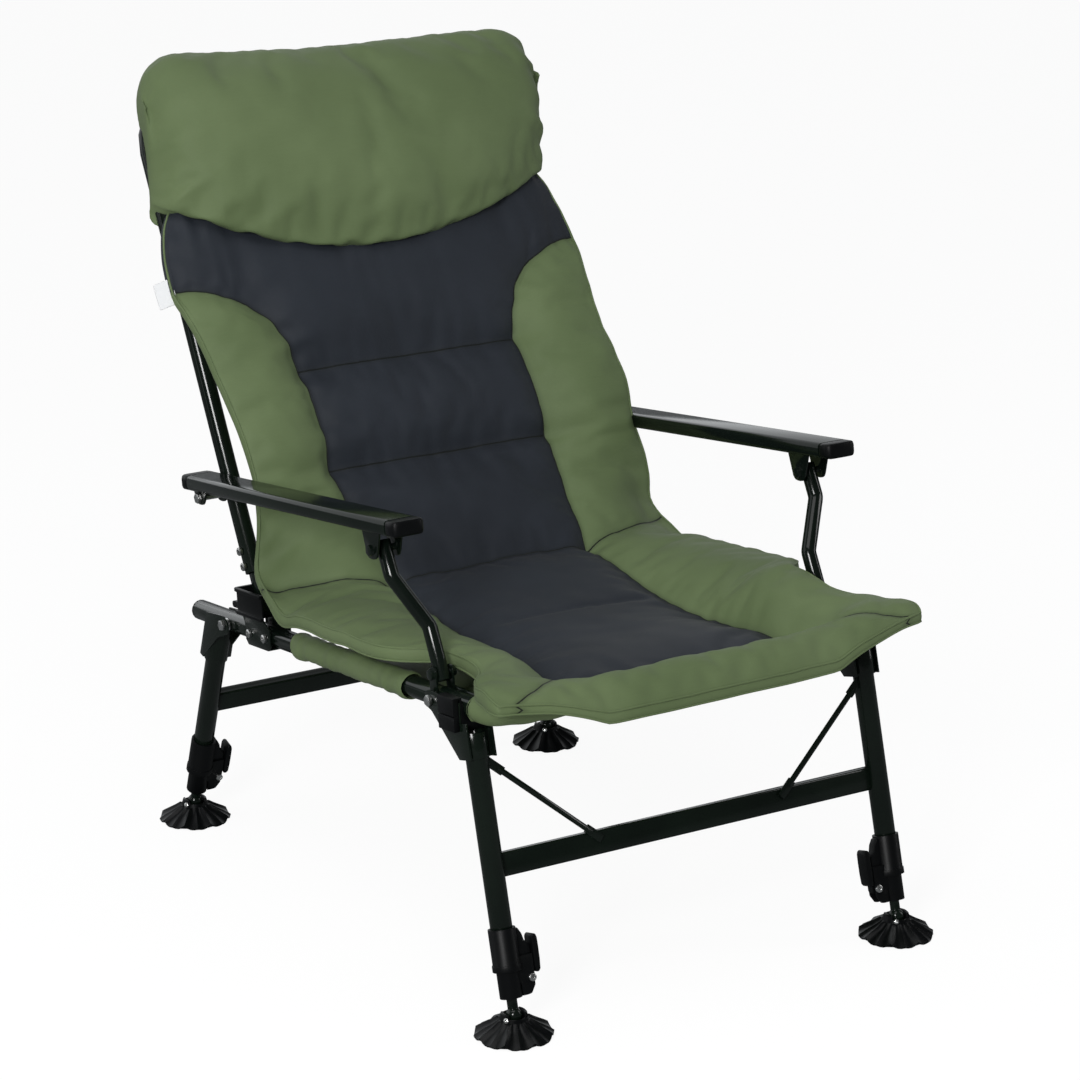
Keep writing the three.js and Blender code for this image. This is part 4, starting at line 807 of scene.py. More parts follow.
def makeCover():
    guide = coverGuide()
    stations = guide[:, 0]
    count = int(round(stations[-1] / cover["cell"]))
    alongRow = snapTo(np.linspace(0, stations[-1], count + 1), cover["seams"])
    sides = int(round(cover["widest"] / cover["sideCell"]))
    share = np.linspace(-1, 1, 2 * sides + 1)[None, :]
    tables = [smoothTable(stations, guide[:, k], alongRow) for k in range(1, 9)]
    faceY, faceZ, slope, crown, rimRise, thick, rimDeep, half = [table[:, None] for table in tables]
    along = alongRow[:, None] + 0 * share
    edgeHalf = np.interp(along, *zip(*panelEdge[3:]))
    edgeShare = round(cover["panelShare"] * sides) / sides
    across = warpTo(share, np.clip(edgeHalf / half, 0.35, 0.72), edgeShare) * half
    width = np.abs(across)
    side = np.sign(across)
    onRight = np.clip(share, 0, 1) ** 2
    wider = smoothTable(rightSide["along"], rightSide["wider"], alongRow)[:, None] * onRight
    proud = smoothTable(rightSide["along"], rightSide["proud"], alongRow)[:, None] * onRight
    edgeGap, edgeWhere = lineGap(panelEdge, along, width)
    depth = np.where((along > cover["panelStart"]) & (width < edgeHalf), edgeGap, -edgeGap)

    # dips and puckers along the sewn lines; t runs from the border's start to the rim
    borderStart = np.clip(edgeHalf, 0, half * 0.8)
    t = np.clip((width - borderStart) / (half - borderStart), 0, 1)
    dips = dipAt(edgeGap, *cover["edgeDip"])
    pucker = foldsAlong(cover["edgeFolds"], edgeWhere + 900 * side, edgeGap)
    pucker += foldsAlong(cover["rimFolds"], along + 900 * side, half - width)
    heldGap = edgeGap
    for k, (points, *dip) in enumerate(sewnLines):
        gap, where = lineGap(points, along, width)
        dips += dipAt(gap, *dip)
        pucker += foldsAlong(cover["lineFolds"], where * side, gap, k)
        if dip[0] > 5:
            heldGap = np.minimum(heldGap, gap)
    headGap = backFrom + headSeam(width) - backRows[0][0] - along
    pucker += foldsAlong(cover["headFolds"], across, headGap) * (along > backFrom)
    drift = driftOver(cover["drift"], along, across) + driftOver(cover["fineDrift"], along, across)
    onBack = np.clip((along - 560) / 60, 0, 1)
    drift += onBack * driftOver(cover["backDrift"], along * 2.6, across * 0.7)

    # heights of the top sheet and the rim, then the moves of the front edge and the bend's corners
    rim = np.zeros_like(along, dtype=bool)
    rim[0, :] = rim[-1, :] = rim[:, 0] = rim[:, -1] = True
    rimWave = driftOver(cover["rimDrift"], along, across)
    beside = postBulge["rise"] * np.exp(-(((along - postBulge["along"]) / postBulge["reach"]) ** 2)) * (side > 0)
    rimLift = rimRise * (1 - (1 - t) ** 1.7)
    lift = rimLift + crown * np.sin(np.pi * t) ** 0.8
    height = np.where(rim, rimLift + rimWave + beside, lift - dips + pucker + drift + beside * t**0.8)
    bowShare = smoothTable(bowFade["along"], bowFade["share"], alongRow)[:, None]
    forward = bowShare * (cover["bow"] * (1 - np.abs(share) ** 3.2) - cover["frontSkew"] * share)
    rearward = down = 0
    for corner in bendCorners:
        tuck = np.exp(-(((along - corner["along"]) / corner["reach"]) ** 2)) * t**2.2
        rearward = rearward + tuck * corner["rearward"]
        down = down + tuck * corner["down"]
    swing = np.radians(slope)

    def spot(height):
        raised = height + proud
        y = faceY + (rearward - forward - raised * np.sin(swing)) * mm
        z = faceZ + (raised * np.cos(swing) - down) * mm
        return np.stack([(across + wider) * mm, y, z], axis=-1)

    lowMiddle = -thick - driftOver(cover["lowDrift"], along, across)
    lowRim = rimRise - rimDeep + rimWave + beside
    topSpots = spot(height)
    lowSpots = spot(lowMiddle + (lowRim - lowMiddle) * (1 - (1 - t) ** 2.2))
    rows, columns = along.shape
    rimOrder = rimOf(rows, columns)
    middle = []
    for i, j in rimOrder:
        outward = (math.copysign(1.2, share[0, j]) if j in (0, columns - 1) else 0, -1.2 if i == 0 else 0, 0)
        middle.append((topSpots[i, j] + lowSpots[i, j]) / 2 + np.array(outward) * mm)
    piece = closedPad("paddedCover", topSpots, lowSpots, middle, rimOrder)

    total = rows * columns
    onRim = tuple(np.array(rimOrder).T)
    held = np.concatenate([np.clip(1.15 - heldGap / 6, 0, 1).ravel(), np.ones(total + len(rimOrder))])
    held[:total][rim.ravel()] = 1
    black = along > cover["blackFrom"]
    far = np.full_like(along, 40.0)
    stitch = np.minimum(np.abs(half - width - 5), np.abs(edgeGap - 4) + 100 * (depth > 0))
    for name, top, low, edge in (
        ("alongCloth", along, along, along),
        ("acrossCloth", across, across, across * 1.03),
        ("panelDepth", depth, np.where(black, 20.0, -30.0), np.where(black, 20.0, -20.0)),
        ("stitchGap", stitch, far, far),
    ):
        writeAttribute(piece, name, np.concatenate([top.ravel(), low.ravel(), edge[onRim]]) * mm)
    swell(piece, held, cover)
    subdivideOnce(piece)
    # the first points of the finer mesh are the old ones in their old order
    places = readPlaces(piece)
    weltLine = [Vector(places[i * columns + j]) for i, j in rimOrder if i < rows - 1]
    lowLine = [Vector(places[total + i * columns + j]) for i, j in rimOrder if along[i, j] < cover["weltUntil"]]
    return piece, weltLine, lowLine


def makeWelt(name, line, radius):
    # thin sewn edge that follows the rim of the cover
    start = next(k for k, (here, there) in enumerate(zip(line, line[1:] + line[:1])) if (here - there).length > 0.05)
    ordered = line[start + 1:] + line[:start + 1]
    curve = bpy.data.curves.new(name, "CURVE")
    curve.dimensions = "3D"
    curve.bevel_depth = radius * mm
    curve.bevel_resolution = 1
    curve.use_fill_caps = True
    spline = curve.splines.new("POLY")
    spline.points.add(len(ordered) - 1)
    for point, spot in zip(spline.points, ordered):
        point.co = (*spot, 1)
    activate(linkNew(name, curve))
    bpy.ops.object.convert(target="MESH")
    bpy.ops.object.shade_smooth()
    return bpy.context.object


def rideCover(piece):
    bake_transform(piece)


coverPiece, coverRim, coverLow = makeCover()
paint(coverPiece, coverFabric)
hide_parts("seat_cushion", "bend_pad", "back_cushion")
rideCover(coverPiece)
for weltName, weltPath in (("coverTopWelt", coverRim), ("coverLowWelt", coverLow)):
    welt = makeWelt(weltName, weltPath, cover["weltRadius"])
    paint(welt, slingFabric)
    rideCover(welt)
print("padded cover made")

# Headrest pillow: a closed bag that also pockets the top of the back tube
pillow = {
    "half": 267.5,
    "widen": 0.027,
    "shift": -1,
    "topTilt": 6,
    "seamTilt": 3.5,
    "skew": 0.109,
    "corner": 58,
    "clothFrom": 2000,
    "top": 690,
    "pocketBack": -19,
    "pocketFloor": 486,
    "pocketHigh": 147,
    "columns": 62,
    "frontRows": 40,
    "backRows": 22,
    "endOut": 5,
    "pressure": 2.6,
    "slack": -0.035,
    "frames": 18,
    "cap": 14,
    "sideFolds": (9.0, 38, 17, 51.0, 0.6),
    "topFolds": (4.5, 40, 30, 57.0, 1),
    "bottomFolds": (3.2, 34, 30, 59.0, 1),
    "drift": (6.0, 88, 61.0),
    "fineDrift": (3, 34, 63.0),
    "wallDrift": (2.2, 60, 71.0),
}
# share of the way round, then up between seam and top, and proud of the tubes
pillowFront = [
    (0, 0.0, 33), (0.03, -0.035, 42), (0.07, -0.04, 54), (0.14, 0.03, 66), (0.25, 0.16, 75),
    (0.4, 0.34, 80), (0.55, 0.53, 80), (0.7, 0.71, 73), (0.82, 0.85, 60), (0.92, 0.95, 38), (1, 1.0, 6),
]


def makePillow():
    half, corner, floor = pillow["half"], pillow["corner"], pillow["pocketFloor"]
    share = np.linspace(-1, 1, pillow["columns"] + 1)
    share = np.sign(share) * (1 - (1 - np.abs(share)) ** 1.12)
    x = share * half
    seamUp = headSeam(x) - pillow["seamTilt"] * x / half
    beyond = np.clip(np.abs(x) - (half - corner), 0, None)
    topUp = pillow["top"] - (corner - np.sqrt(np.maximum(corner**2 - beyond**2, 0))) * 0.96
    topUp = topUp - 5 * np.cos(x / 150) ** 2 + pillow["topTilt"] * (1 - x / half)

    # front, from the lower seam over the pillow's belly to its top
    places, upShare, proud = [np.array(column) for column in zip(*pillowFront)]
    v = np.linspace(0, 1, pillow["frontRows"] + 1)
    rise = smoothTable(places, upShare, v)[:, None]
    ahead = smoothTable(places, proud, v)[:, None]
    full = (1 - np.abs(share) ** 4.5) ** 0.5
    frontUp = seamUp + rise * (topUp - seamUp)
    frontAhead = 16 + (ahead - 16) * (0.2 + 0.8 * full)
    frontAhead = np.where(v[:, None] < 0.02, 33 - 9 * np.abs(share) ** 4, frontAhead)
    acrossGrid = x + 0 * rise
    sideGap = half - np.abs(acrossGrid)
    bottomGap = np.abs(frontUp - seamUp)
    topGap = np.abs(topUp - frontUp)
    slant = frontUp + 0.45 * np.abs(acrossGrid)
    folds = foldsAlong(pillow["sideFolds"], slant + 900 * np.sign(acrossGrid), sideGap)
    folds += foldsAlong(pillow["topFolds"], acrossGrid, topGap)
    folds += foldsAlong(pillow["bottomFolds"], acrossGrid, bottomGap)
    folds += driftOver(pillow["drift"], slant, acrossGrid * 0.6)
    folds += driftOver(pillow["fineDrift"], slant, acrossGrid * 0.5)
    frontAhead = frontAhead + folds * np.clip(v[:, None] * 9, 0, 1)

    # back wall of the pocket, its floor, and the lining back to the seam
    w = np.linspace(0, 1, pillow["backRows"] + 1)[1:, None]
    backTop = np.maximum(topUp, floor + 8)
    backUp = backTop + (floor - backTop) * w
    overTop = np.clip(w * 7, 0, 1)
    backDeep = pillow["pocketBack"] * overTop**0.5 + 6 * (1 - overTop)
    backAhead = (backDeep + driftOver(pillow["wallDrift"], backUp, x)) * (1 - 0.75 * np.abs(share) ** 40)
    floorAhead = np.array([-6, 4, 13])[:, None] + 0 * x
    floorUp = np.maximum(floor + np.array([-1, 0, 1])[:, None] + 0 * x, seamUp - 4)
    lining = np.array([0.35, 0.7])[:, None]
    liningUp = floorUp[-1:] + (seamUp - floorUp[-1:]) * lining
    liningAhead = 13 + (30 - 13) * lining + 0 * x
    upAll = np.concatenate([frontUp, backUp, floorUp, liningUp])
    y, z = backSpot(upAll, np.concatenate([frontAhead, backAhead, floorAhead, liningAhead]))
    above = upAll - floor
    skewed = x * (1 + pillow["widen"] * above / pillow["pocketHigh"]) + pillow["shift"] + pillow["skew"] * above
    grid = np.stack([skewed * mm, y, z], axis=-1)

    # a closed tube of faces with a cap on each end
    rows, columns = upAll.shape
    around = [((i + 1) % rows, i) for i in range(rows)]
    faces = []
    for after, i in around:
        here, there = i * columns, after * columns
        faces += [(here + j, here + j + 1, there + j + 1, there + j) for j in range(columns - 1)]
    points = [tuple(point) for point in grid.reshape(-1, 3)]
    for j, outward in ((0, -pillow["endOut"]), (columns - 1, pillow["endOut"])):
        centre = grid[:, j].mean(axis=0)
        inner = len(points)
        for i in range(rows):
            spot = centre + (grid[i, j] - centre) * np.array([1, 0.35, 0.94])
            points.append((spot[0] + outward * mm, spot[1], spot[2]))
        caps = [(i * columns + j, after * columns + j, inner + after, inner + i) for after, i in around]
        caps.append(tuple(range(inner, inner + rows)))
        faces += caps if j else [cap[::-1] for cap in caps]
    piece = meshPiece("headrestPillow", points, faces)
    editAll(piece)
    bpy.ops.mesh.quads_convert_to_tris()
    bpy.ops.mesh.tris_convert_to_quads()
    turnOutward(piece)

    held = np.ones(len(points))
    gap = np.minimum(np.minimum(sideGap, bottomGap + 2.5), topGap + 2).ravel()
    held[:len(gap)] = np.clip(1.25 - gap / 9, 0, 1) * (gap < 9)
    held[:columns] = 1
    ends = np.zeros(len(points) - rows * columns)
    clothPlaces = np.concatenate([upAll.ravel(), ends]) + pillow["clothFrom"]
    writeAttribute(piece, "alongCloth", clothPlaces * mm)
    writeAttribute(piece, "acrossCloth", np.concatenate([np.tile(x, rows), ends]) * mm)
    writeAttribute(piece, "panelDepth", np.full(len(points), -0.03))
    writeAttribute(piece, "stitchGap", np.full(len(points), 0.04))
    swell(piece, held, pillow)
    subdivideOnce(piece)
    return piece


pillowPiece = makePillow()
paint(pillowPiece, coverFabric)
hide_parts("back_cushion")
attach(pillowPiece, "back")
print("headrest pillow made")

# Fabric sling and front sleeve: cloth sewn round the seat tubes
slingLook = {
    "radius": 13.8,
    "thick": 1.3,
    "front": -169,
    "rear": 98,
    "step": 5.5,
    "hem": 34,
    "sag": 3.5,
    "pucker": 1.9,
    "frontReach": -308,
    "tubeX": 258,
    "tubeFront": -352,
    "corner": 46,
    "webHalf": 237,
    "webRear": -171,
}


def sewSheet(name, grid, thick, middle, material):
    # a sheet woven over a grid of places, given its thickness
    rows, columns = grid.shape[:2]
    piece = meshPiece(name, grid.reshape(-1, 3), gridFaces(rows, columns))
    wall = piece.modifiers.new("Solidify", "SOLIDIFY")
    wall.thickness = thick * mm
    wall.offset = middle
    subdivideOnce(piece)
    turnOutward(piece)
    return paint(piece, material)


def clothFrom(name, grid):
    piece = sewSheet(name, grid, slingLook["thick"], 0, slingFabric)
    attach(piece, "seat")
    return piece


def gatherOf(place, turn, near):
    # how far the cloth stands off its tube, more so near its end
    fold = noise.noise(Vector(place)) + 0.5 * noise.noise(Vector(turn))
    return (1 + near) * max(0.0, fold + 0.35) * slingLook["pucker"]


def makeSideSling():
    # hem, round the tube, under the seat, round the other tube, hem
    tube, radius, hem = slingLook["tubeX"], slingLook["radius"], slingLook["hem"]
    turns = np.radians(np.linspace(208, -90, 20))
    half = [(tube - hem, -11.6), (tube - hem + 11, -11.5), (tube - 17, -10.4)]
    half += [(tube + radius * math.cos(a), radius * math.sin(a)) for a in turns]
    right = np.array(half + [(x, -radius) for x in np.linspace(tube - 18, 0, 13)])
    profile = np.concatenate([right, right[:-1][::-1] * np.array([-1, 1])])
    steps = int(round((slingLook["rear"] - slingLook["front"]) / slingLook["step"]))
    along = np.linspace(slingLook["front"], slingLook["rear"], steps + 1)
    grid = np.zeros((len(along), len(profile), 3))
    for i, s in enumerate(along):
        toEnd = min(s - slingLook["front"], slingLook["rear"] - s)
        for j, (x, h) in enumerate(profile):
            side = math.copysign(1, x)
            onWeb = abs(x) < tube - 14
            if onWeb and h < -radius + 0.5:
                share = abs(x) / tube
                lift = -slingLook["sag"] * (1 - share**2) + 1.2 * noise.noise(Vector((s / 40, x / 70, 3.3)))
                grid[i, j] = (x, s, h + lift)
                continue
            out = Vector((0, 0)) if onWeb else Vector((x - side * tube, h))
            gather = gatherOf((s / 13, j / 9 * side, 8.1), (s / 5, j / 5, 2.2), 1.2 * math.exp(-toEnd / 16))
            if out.length > 0:
                out = out.normalized() * gather
            grid[i, j] = (x + out.x, s, h + out.y)
    y, z = seatSpot(grid[..., 1], grid[..., 2])
    spots = np.stack([grid[..., 0] * mm, y, z], axis=-1)
    piece = clothFrom("fabricSling", spots)
    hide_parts("seat_sling")


def sleevePath():
    # along the seat tube from the left clip, round both corners, to the right clip
    tube, front, corner, reach = [slingLook[key] for key in ("tubeX", "tubeFront", "corner", "frontReach")]
    turns = np.radians(np.linspace(0, 90, 9))
    middle, back = tube - corner, front + corner
    points = [(-tube, reach)]
    points += [(-middle - corner * math.cos(a), back - corner * math.sin(a)) for a in turns]
    points += [(x, front) for x in np.linspace(-middle, middle, 58)[1:-1]]
    points += [(middle + corner * math.sin(a), back - corner * math.cos(a)) for a in turns]
    return np.array(points + [(tube, reach)])


def makeFrontSleeve():
    path = sleevePath()
    radius = slingLook["radius"]
    rows = []
    run = np.gradient(path, axis=0)
    run = run / np.linalg.norm(run, axis=1, keepdims=True)
    for i, (spot, ahead) in enumerate(zip(path, run)):
        toEnd = min(i, len(path) - 1 - i)
        outward = np.array([ahead[1], -ahead[0]])
        ring = []
        for j, a in enumerate(np.radians(np.linspace(-110, 250, 25))):
            reach = radius + gatherOf((i / 1.7, j / 6, 5.5), (i, j / 3, 1.7), 0.9 * math.exp(-toEnd / 4))
            across = spot + outward * reach * math.cos(a)
            y, z = seatSpot(across[1], reach * math.sin(a))
            ring.append((across[0] * mm, y, z))
        rows.append(ring)
    grid = np.array(rows)
    sleevePiece = clothFrom("frontSleeveCloth", grid)
    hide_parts("front_sleeve")
    across = np.linspace(-slingLook["webHalf"], slingLook["webHalf"], 61)
    along = np.linspace(slingLook["tubeFront"] + 6, slingLook["webRear"], 24)
    web = np.zeros((len(along), len(across), 3))
    for i, s in enumerate(along):
        share = (s - along[0]) / (along[-1] - along[0])
        for j, x in enumerate(across):
            sag = slingLook["sag"] * share * (1 - (x / slingLook["webHalf"]) ** 2)
            h = -radius - sag + 1.3 * noise.noise(Vector((s / 40, x / 60, 6.1))) * share
            web[i, j] = (x * mm, *seatSpot(s, h))
    webPiece = clothFrom("frontWebCloth", web)
    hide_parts("front_sleeve")


makeSideSling()
makeFrontSleeve()
print("fabric sling and sleeves made")

# Plain white side tag, folded over the cover's left edge
tagLook = {"up": 384, "width": 19, "length": 33, "side": -280, "proud": 20, "thick": 0.7}


def makeTag():
    finish = Finish("tagTape")
    ribs = (finish.parts(finish.place())[2] * 9000).sine()
    finish.surface(Base_Color=(0.82, 0.83, 0.84), Roughness=0.62, Normal=finish.bump(ribs, 0.00004, 0.4))
    grid = np.zeros((9, 7, 3))
    for i, t in enumerate(np.linspace(0, 1, 9)):
        for j in range(7):
            u = j / 6
            ahead = tagLook["proud"] - 9 * u - 4 * u * u + 1.2 * math.sin(3 * t + 2 * u)
            y, z = backSpot(tagLook["up"] + tagLook["length"] * t - 3 * u, ahead)
            grid[i, j] = ((tagLook["side"] - tagLook["width"] * u) * mm, y, z)
    piece = sewSheet("sideTag", grid, tagLook["thick"], -1, finish.material)
    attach(piece, "back")


makeTag()
print("side tag sewn on")

# Small fittings: mud feet, clamp fins, cam levers and bolt heads
def flatProfile(name, outline, low, high, soft):
    # an outline in the x-z plane, given a thickness along y and softened edges
    deselectAll()
    bpy.ops.mesh.primitive_circle_add(vertices=len(outline), radius=1, fill_type="NGON")
    piece = bpy.context.object
    piece.name = piece.data.name = name
    for vertex, (x, z) in zip(piece.data.vertices, outline):
        vertex.co = (x * mm, low * mm, z * mm)
    editAll(piece)
    bpy.ops.mesh.extrude_region_move(TRANSFORM_OT_translate={"value": (0, (high - low) * mm, 0)})
    turnOutward(piece)
    softenEdges(piece, soft)
    return smoothByAngle(piece, 40)


def placeCopy(source, name, matrix, body, material=blackPlastic):
    piece = linkNew(name, source.data.copy())
    piece.data.transform(matrix)
    if matrix.determinant() < 0:
        piece.data.flip_normals()
    paint(piece, material)
    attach(piece, body)
    return piece


# the four leg ends: ball places and the directions of their tubes
endPlaces = {
    "front": {"y": -0.433653, "up": (0, 0.260505, 0.965473), "screwTurns": {"right": -126, "left": -152}},
    "rear": {"y": 0.34197, "up": (0, -0.322266, 0.946649), "screwTurns": {"right": -126, "left": -156}},
}
endLook = {
    "x": 0.262,
    "z": 0.024,
    # screw at the foot's socket
    "screwReach": 15.6,
    "screwDrop": -1.2,
    "screwLean": 0.35,
    # screw in the clamp's lug
    "clampScrew": (-25, 8, 38),
    "clampScale": 0.86,
}


def endMatrix(ball, up, side):
    # right side: the clamp's lug points along -x; the left side is its mirror
    axes = Matrix((Vector((side, 0, 0)), up.cross(Vector((1, 0, 0))), up)).transposed().to_4x4()
    return Matrix.Translation(ball) @ axes


footShape = {
    "sides": 64,
    "floor": -24,
    # radius and height above the floor, from the base over the skirt and hub down into the socket
    "rings": [
        (43.5, 0), (46.3, 0.8), (46.5, 2.4), (43.0, 4.6), (36.0, 8.2), (28.0, 12.4), (20.5, 17.0), (16.6, 20.4),
        (15.6, 24.0), (14.6, 27.6), (13.4, 28.8), (12.0, 28.2), (11.0, 25.6), (10.3, 21.5), (9.0, 17.5), (6.0, 14.8),
    ],
    # step away from a ridge, then how much the skirt draws in and rises there
    "folds": [(0, 1.0, 3.0), (1, 0.998, 1.5), (2, 0.992, 0.1), (3, 0.978, -1.0), (4, 0.97, -1.4)],
    "scallop": [(0, 0.0), (1, 0.3), (2, 1.3), (3, 2.6), (4, 3.2)],
    "hubDip": -5.2,
}


def makeFoot():
    rings, sides, floor = footShape["rings"], footShape["sides"], footShape["floor"]
    deselectAll()
    bpy.ops.mesh.primitive_circle_add(
        vertices=sides, radius=rings[0][0] * mm, fill_type="NGON", location=(0, 0, floor * mm)
    )
    piece = settle(bpy.context.object)
    piece.name = piece.data.name = "mudFoot"
    editAll(piece)
    for (wideBelow, heightBelow), (wide, height) in zip(rings[:-1], rings[1:]):
        bpy.ops.mesh.extrude_region_move(TRANSFORM_OT_translate={"value": (0, 0, (height - heightBelow) * mm)})
        bpy.ops.transform.resize(value=(wide / wideBelow, wide / wideBelow, 1), center_override=(0, 0, 0))
    bpy.ops.mesh.select_all(action="DESELECT")
    bpy.ops.object.mode_set(mode="OBJECT")
    # ring and step of each point, and how far it is turned towards y
    spots = []
    for vertex in piece.data.vertices:
        wide = math.hypot(vertex.co.x, vertex.co.y) / mm
        height = vertex.co.z / mm - floor
        ring = min(range(len(rings)), key=lambda k: abs(rings[k][0] - wide) + abs(rings[k][1] - height))
        angle = math.atan2(vertex.co.y, vertex.co.x)
        step = round(angle / (2 * math.pi / sides)) % 8
        spots.append((ring, min(step, 8 - step), abs(math.sin(angle))))

    def choose(wanted):
        bpy.ops.object.mode_set(mode="OBJECT")
        for vertex, spot in zip(piece.data.vertices, spots):
            vertex.select = wanted(*spot)
        bpy.ops.object.mode_set(mode="EDIT")

    bpy.ops.object.mode_set(mode="EDIT")
    bpy.context.tool_settings.mesh_select_mode = (True, False, False)
    for fold, shrink, rise in footShape["folds"]:
        choose(lambda ring, step, turned: ring <= 3 and step == fold)
        bpy.ops.transform.resize(value=(shrink, shrink, 1), center_override=(0, 0, 0))
        choose(lambda ring, step, turned: 3 <= ring <= 6 and step == fold)
        bpy.ops.transform.translate(value=(0, 0, rise * mm))
    for fold, rise in footShape["scallop"]:
        choose(lambda ring, step, turned: ring <= 3 and step == fold)
        bpy.ops.transform.translate(value=(0, 0, rise * mm))
    # the hub stays high in two cheeks and dips between them, so that the stem can lean
    choose(lambda ring, step, turned: 9 <= ring <= 12 and turned > 0.62)
    bpy.ops.transform.translate(value=(0, 0, footShape["hubDip"] * mm))
    turnOutward(piece)
    return smoothByAngle(piece, 24)


# inset and rise of each step towards the recess, as shares of radius and height
headSteps = [(0.22, 0.3), (0.34, 0.08), (0.05, -0.5)]


def makeHead(radius, height):
    # domed screw head with a recess, standing on the x-y plane
    deselectAll()
    bpy.ops.mesh.primitive_cylinder_add(
        vertices=24, radius=radius * mm, depth=height * mm, location=(0, 0, height * mm / 2)
    )
    piece = settle(bpy.context.object)
    piece.name = piece.data.name = "screwHead"
    bpy.ops.object.mode_set(mode="EDIT")
    bpy.ops.mesh.select_all(action="DESELECT")
    bpy.ops.object.mode_set(mode="OBJECT")
    max(piece.data.polygons, key=lambda face: face.center.z).select = True
    bpy.ops.object.mode_set(mode="EDIT")
    bpy.context.tool_settings.mesh_select_mode = (False, False, True)
    for inset, rise in headSteps:
        bpy.ops.mesh.inset(thickness=radius * inset * mm)
        bpy.ops.transform.translate(value=(0, 0, height * rise * mm))
    bpy.ops.object.mode_set(mode="OBJECT")
    return smoothByAngle(piece, 50)


footSource = makeFoot()
screwSource = makeHead(3.0, 1.8)
boltSource = makeHead(5.25, 2.8)
finSource = flatProfile("clampFin", [
    (-12.5, 96), (-17, 95), (-21, 88), (-23, 80), (-28, 75), (-28.8, 71), (-28.8, 62.5), (-11, 62.5),
], -6, 6, 1.2)
cheekSource = flatProfile("clampCheek", [
    (-11, 36), (-28.8, 36), (-28.4, 29), (-23, 20.6), (-19, 19.8), (-11, 19.8),
], 4.9, 8, 0.8)
leverSource = flatProfile("camLever", [
    (-31, 42.6), (-35, 42.0), (-37.4, 45), (-38.2, 56), (-38.4, 70), (-38.2, 80), (-37.0, 83.6), (-34.8, 85.2),
    (-32.4, 84.4), (-31, 81.4), (-30.8, 74), (-30.6, 56),
], -8.6, 8.6, 1.3)
neckSource = flatProfile("camNeck", [
    (-31.2, 44), (-31.6, 35), (-27.6, 31.8), (-22.4, 32.2), (-19.4, 37), (-20.8, 42.6), (-25, 44.4),
], -4.1, 4.1, 0.7)


def makeHeadOn(name, spot, aim, body, scale=0.98, source=boltSource):
    axes = Vector(aim).to_track_quat("Z", "Y").to_matrix().to_4x4()
    matrix = Matrix.Translation(spot) @ axes @ Matrix.Scale(scale, 4)
    placeCopy(source, name, matrix, body, zincPlate)


def dressEnd(placeName, place, sideName, side):
    # one leg end: foot with its screw, clamp fin and cheeks, cam lever with its neck and bolt
    endName = placeName + "_" + sideName
    foot, legs, cam = "foot_" + placeName[0] + sideName[0], placeName + "_legs", "cam_" + endName
    ball = Vector((side * endLook["x"], place["y"], endLook["z"]))
    matrix = endMatrix(ball, Vector(place["up"]), side)
    footPiece = placeCopy(footSource, "mudFoot_" + endName, Matrix.Translation(ball), foot, footPlastic)
    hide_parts("foot_" + endName)
    turn = math.radians(place["screwTurns"][sideName])
    aim = Vector((math.cos(turn), math.sin(turn), endLook["screwLean"])).normalized()
    reach = endLook["screwReach"]
    spot = ball + Vector((math.cos(turn) * reach, math.sin(turn) * reach, endLook["screwDrop"])) * mm
    makeHeadOn("footScrew_" + endName, spot, aim, foot, 1.0, screwSource)
    placeCopy(finSource, "clampFin_" + endName, matrix, legs)
    placeCopy(cheekSource, "clampCheekFront_" + endName, matrix, legs)
    placeCopy(cheekSource, "clampCheekBack_" + endName, matrix @ Matrix.Diagonal((1, -1, 1, 1)), legs)
    lever = placeCopy(leverSource, "camLever_" + endName, matrix, cam)
    neck = placeCopy(neckSource, "camNeck_" + endName, matrix, cam)
    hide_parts("cam_lever_" + endName)
    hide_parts("cam_lever_" + endName)
    outward = matrix.to_3x3().col[1]
    front = -1 if outward.y > 0 else 1
    x, y, z = endLook["clampScrew"]
    head = matrix @ Vector((x * mm, front * y * mm, z * mm))
    makeHeadOn("clampScrew_" + endName, head, outward * front, legs, endLook["clampScale"])


for placeName, place in endPlaces.items():
    for sideName, side in bothSides:
        dressEnd(placeName, place, sideName, side)

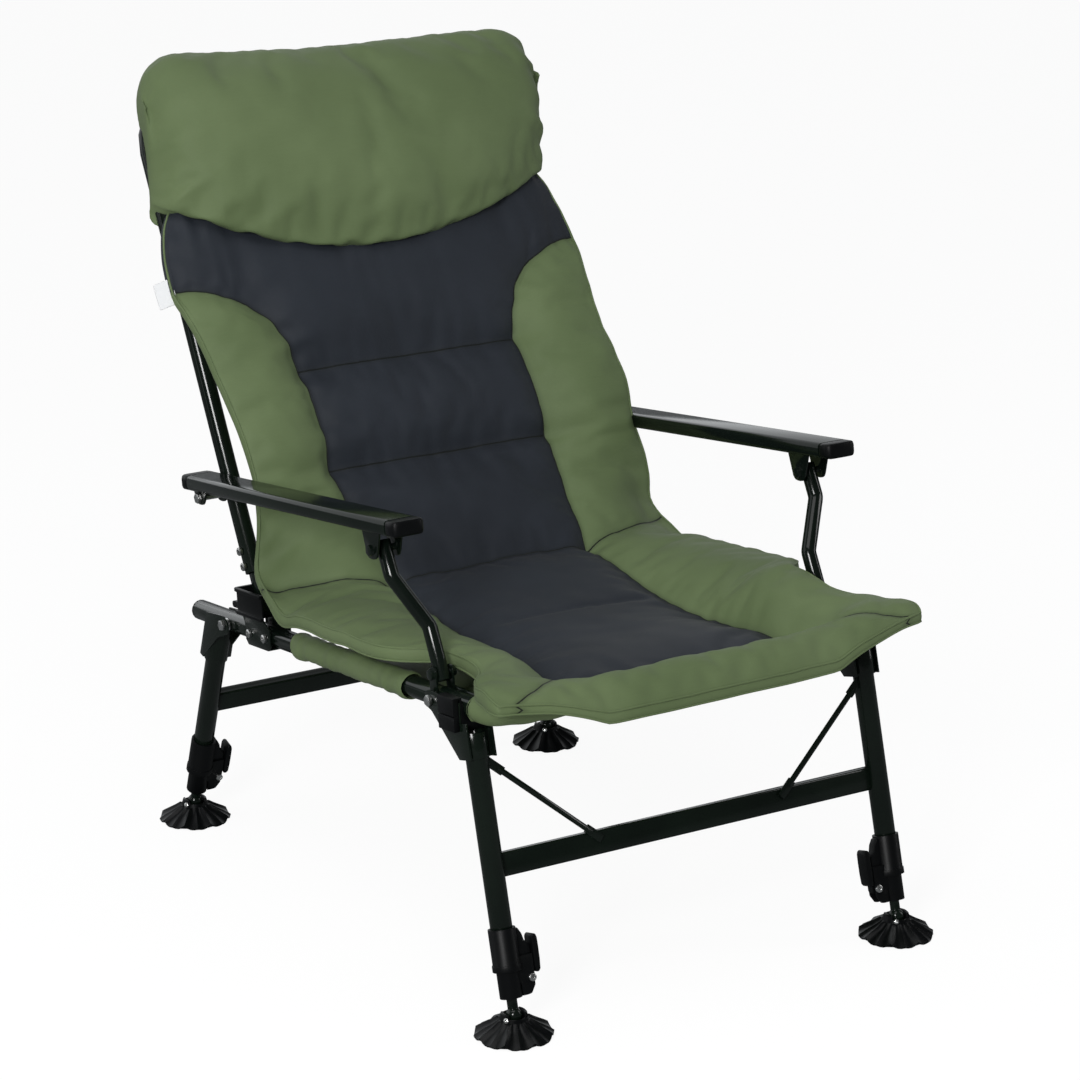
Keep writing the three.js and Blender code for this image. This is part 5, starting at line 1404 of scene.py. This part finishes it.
# zinc heads over the painted ones: name, body, distance from the middle, place in the side view
armSpot = (-0.207706, 0.506607)
boltHeads = [
    ("saddleHeadA_", "seat", 0.2734, seatSpot(201, 0)),
    ("saddleHeadB_", "seat", 0.2734, seatSpot(162, 0)),
    ("postHead_", "seat", 0.2698, seatSpot(-236.15, 27.4)),
    ("neckHeadA_", "back", 0.2692, backSpot(57, 0)),
    ("neckHeadB_", "back", 0.2692, backSpot(76, 0)),
    ("armHead_", "arm_", 0.3048, armSpot),
]
for sideName, side in bothSides:
    for name, body, out, place in boltHeads:
        rides = body + sideName if body == "arm_" else body
        makeHeadOn(name + sideName, (side * out, *place), (side, 0, 0), rides)
    makeHeadOn("armHeadInner_" + sideName, (side * 0.2742, *armSpot), (-side, 0, 0), "arm_" + sideName)

for source in (footSource, screwSource, boltSource, finSource, cheekSource, leverSource, neckSource):
    bpy.data.objects.remove(source, do_unlink=True)
print("feet, levers and bolt heads made")

# Rigid pieces: each CAD solid gets a merged copy with smooth rounds and softened edges
rigidLooks = {
    "framePaint": ("frame_steel", framePaint, 0.5, [
        "seat_tube", "recliner_bracket", "post_ear", "front_leg", "front_crossbar", "front_brace", "extension_front",
        "rear_leg", "rear_crossbar", "extension_rear", "back_tube", "back_neck", "armrest", "arm_post",
    ]),
    "blackPlastic": ("black_plastic", blackPlastic, 0.6, [
        "tube_plug", "recliner_housing", "release_lever", "snap_clip", "leg_clamp_front", "leg_clamp_rear",
    ]),
    "armCaps": ("black_plastic", blackPlastic, 4.5, ["arm_front_cap", "arm_rear_cap"]),
    "zincPlate": ("zinc_bolt", zincPlate, 0.3, ["front_leg_bolt", "rear_leg_bolt", "arm_rear_bolt"]),
}


def bodyOf(node):
    for name, members in frame["record"]["behaviour"]["bodies"].items():
        if node in members:
            return name
    return "root"


def dressNode(node, material, softEdge):
    piece = linkNew(node + "_dressed", frame["nodes"][node].data.copy())
    editAll(piece)
    bpy.ops.mesh.remove_doubles(threshold=0.00001)
    bpy.ops.mesh.dissolve_limited(angle_limit=math.radians(1.0))
    bpy.ops.object.mode_set(mode="OBJECT")
    softenEdges(piece, softEdge)
    smoothByAngle(piece, 38)
    paint(piece, material)
    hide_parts(node)
    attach(piece, bodyOf(node))


for slotName, material, softEdge, stems in rigidLooks.values():
    for stem in stems:
        for node in (stem, stem + "_right", stem + "_left"):
            if node in frame["nodes"]:
                dressNode(node, material, softEdge)
print("rigid pieces dressed")
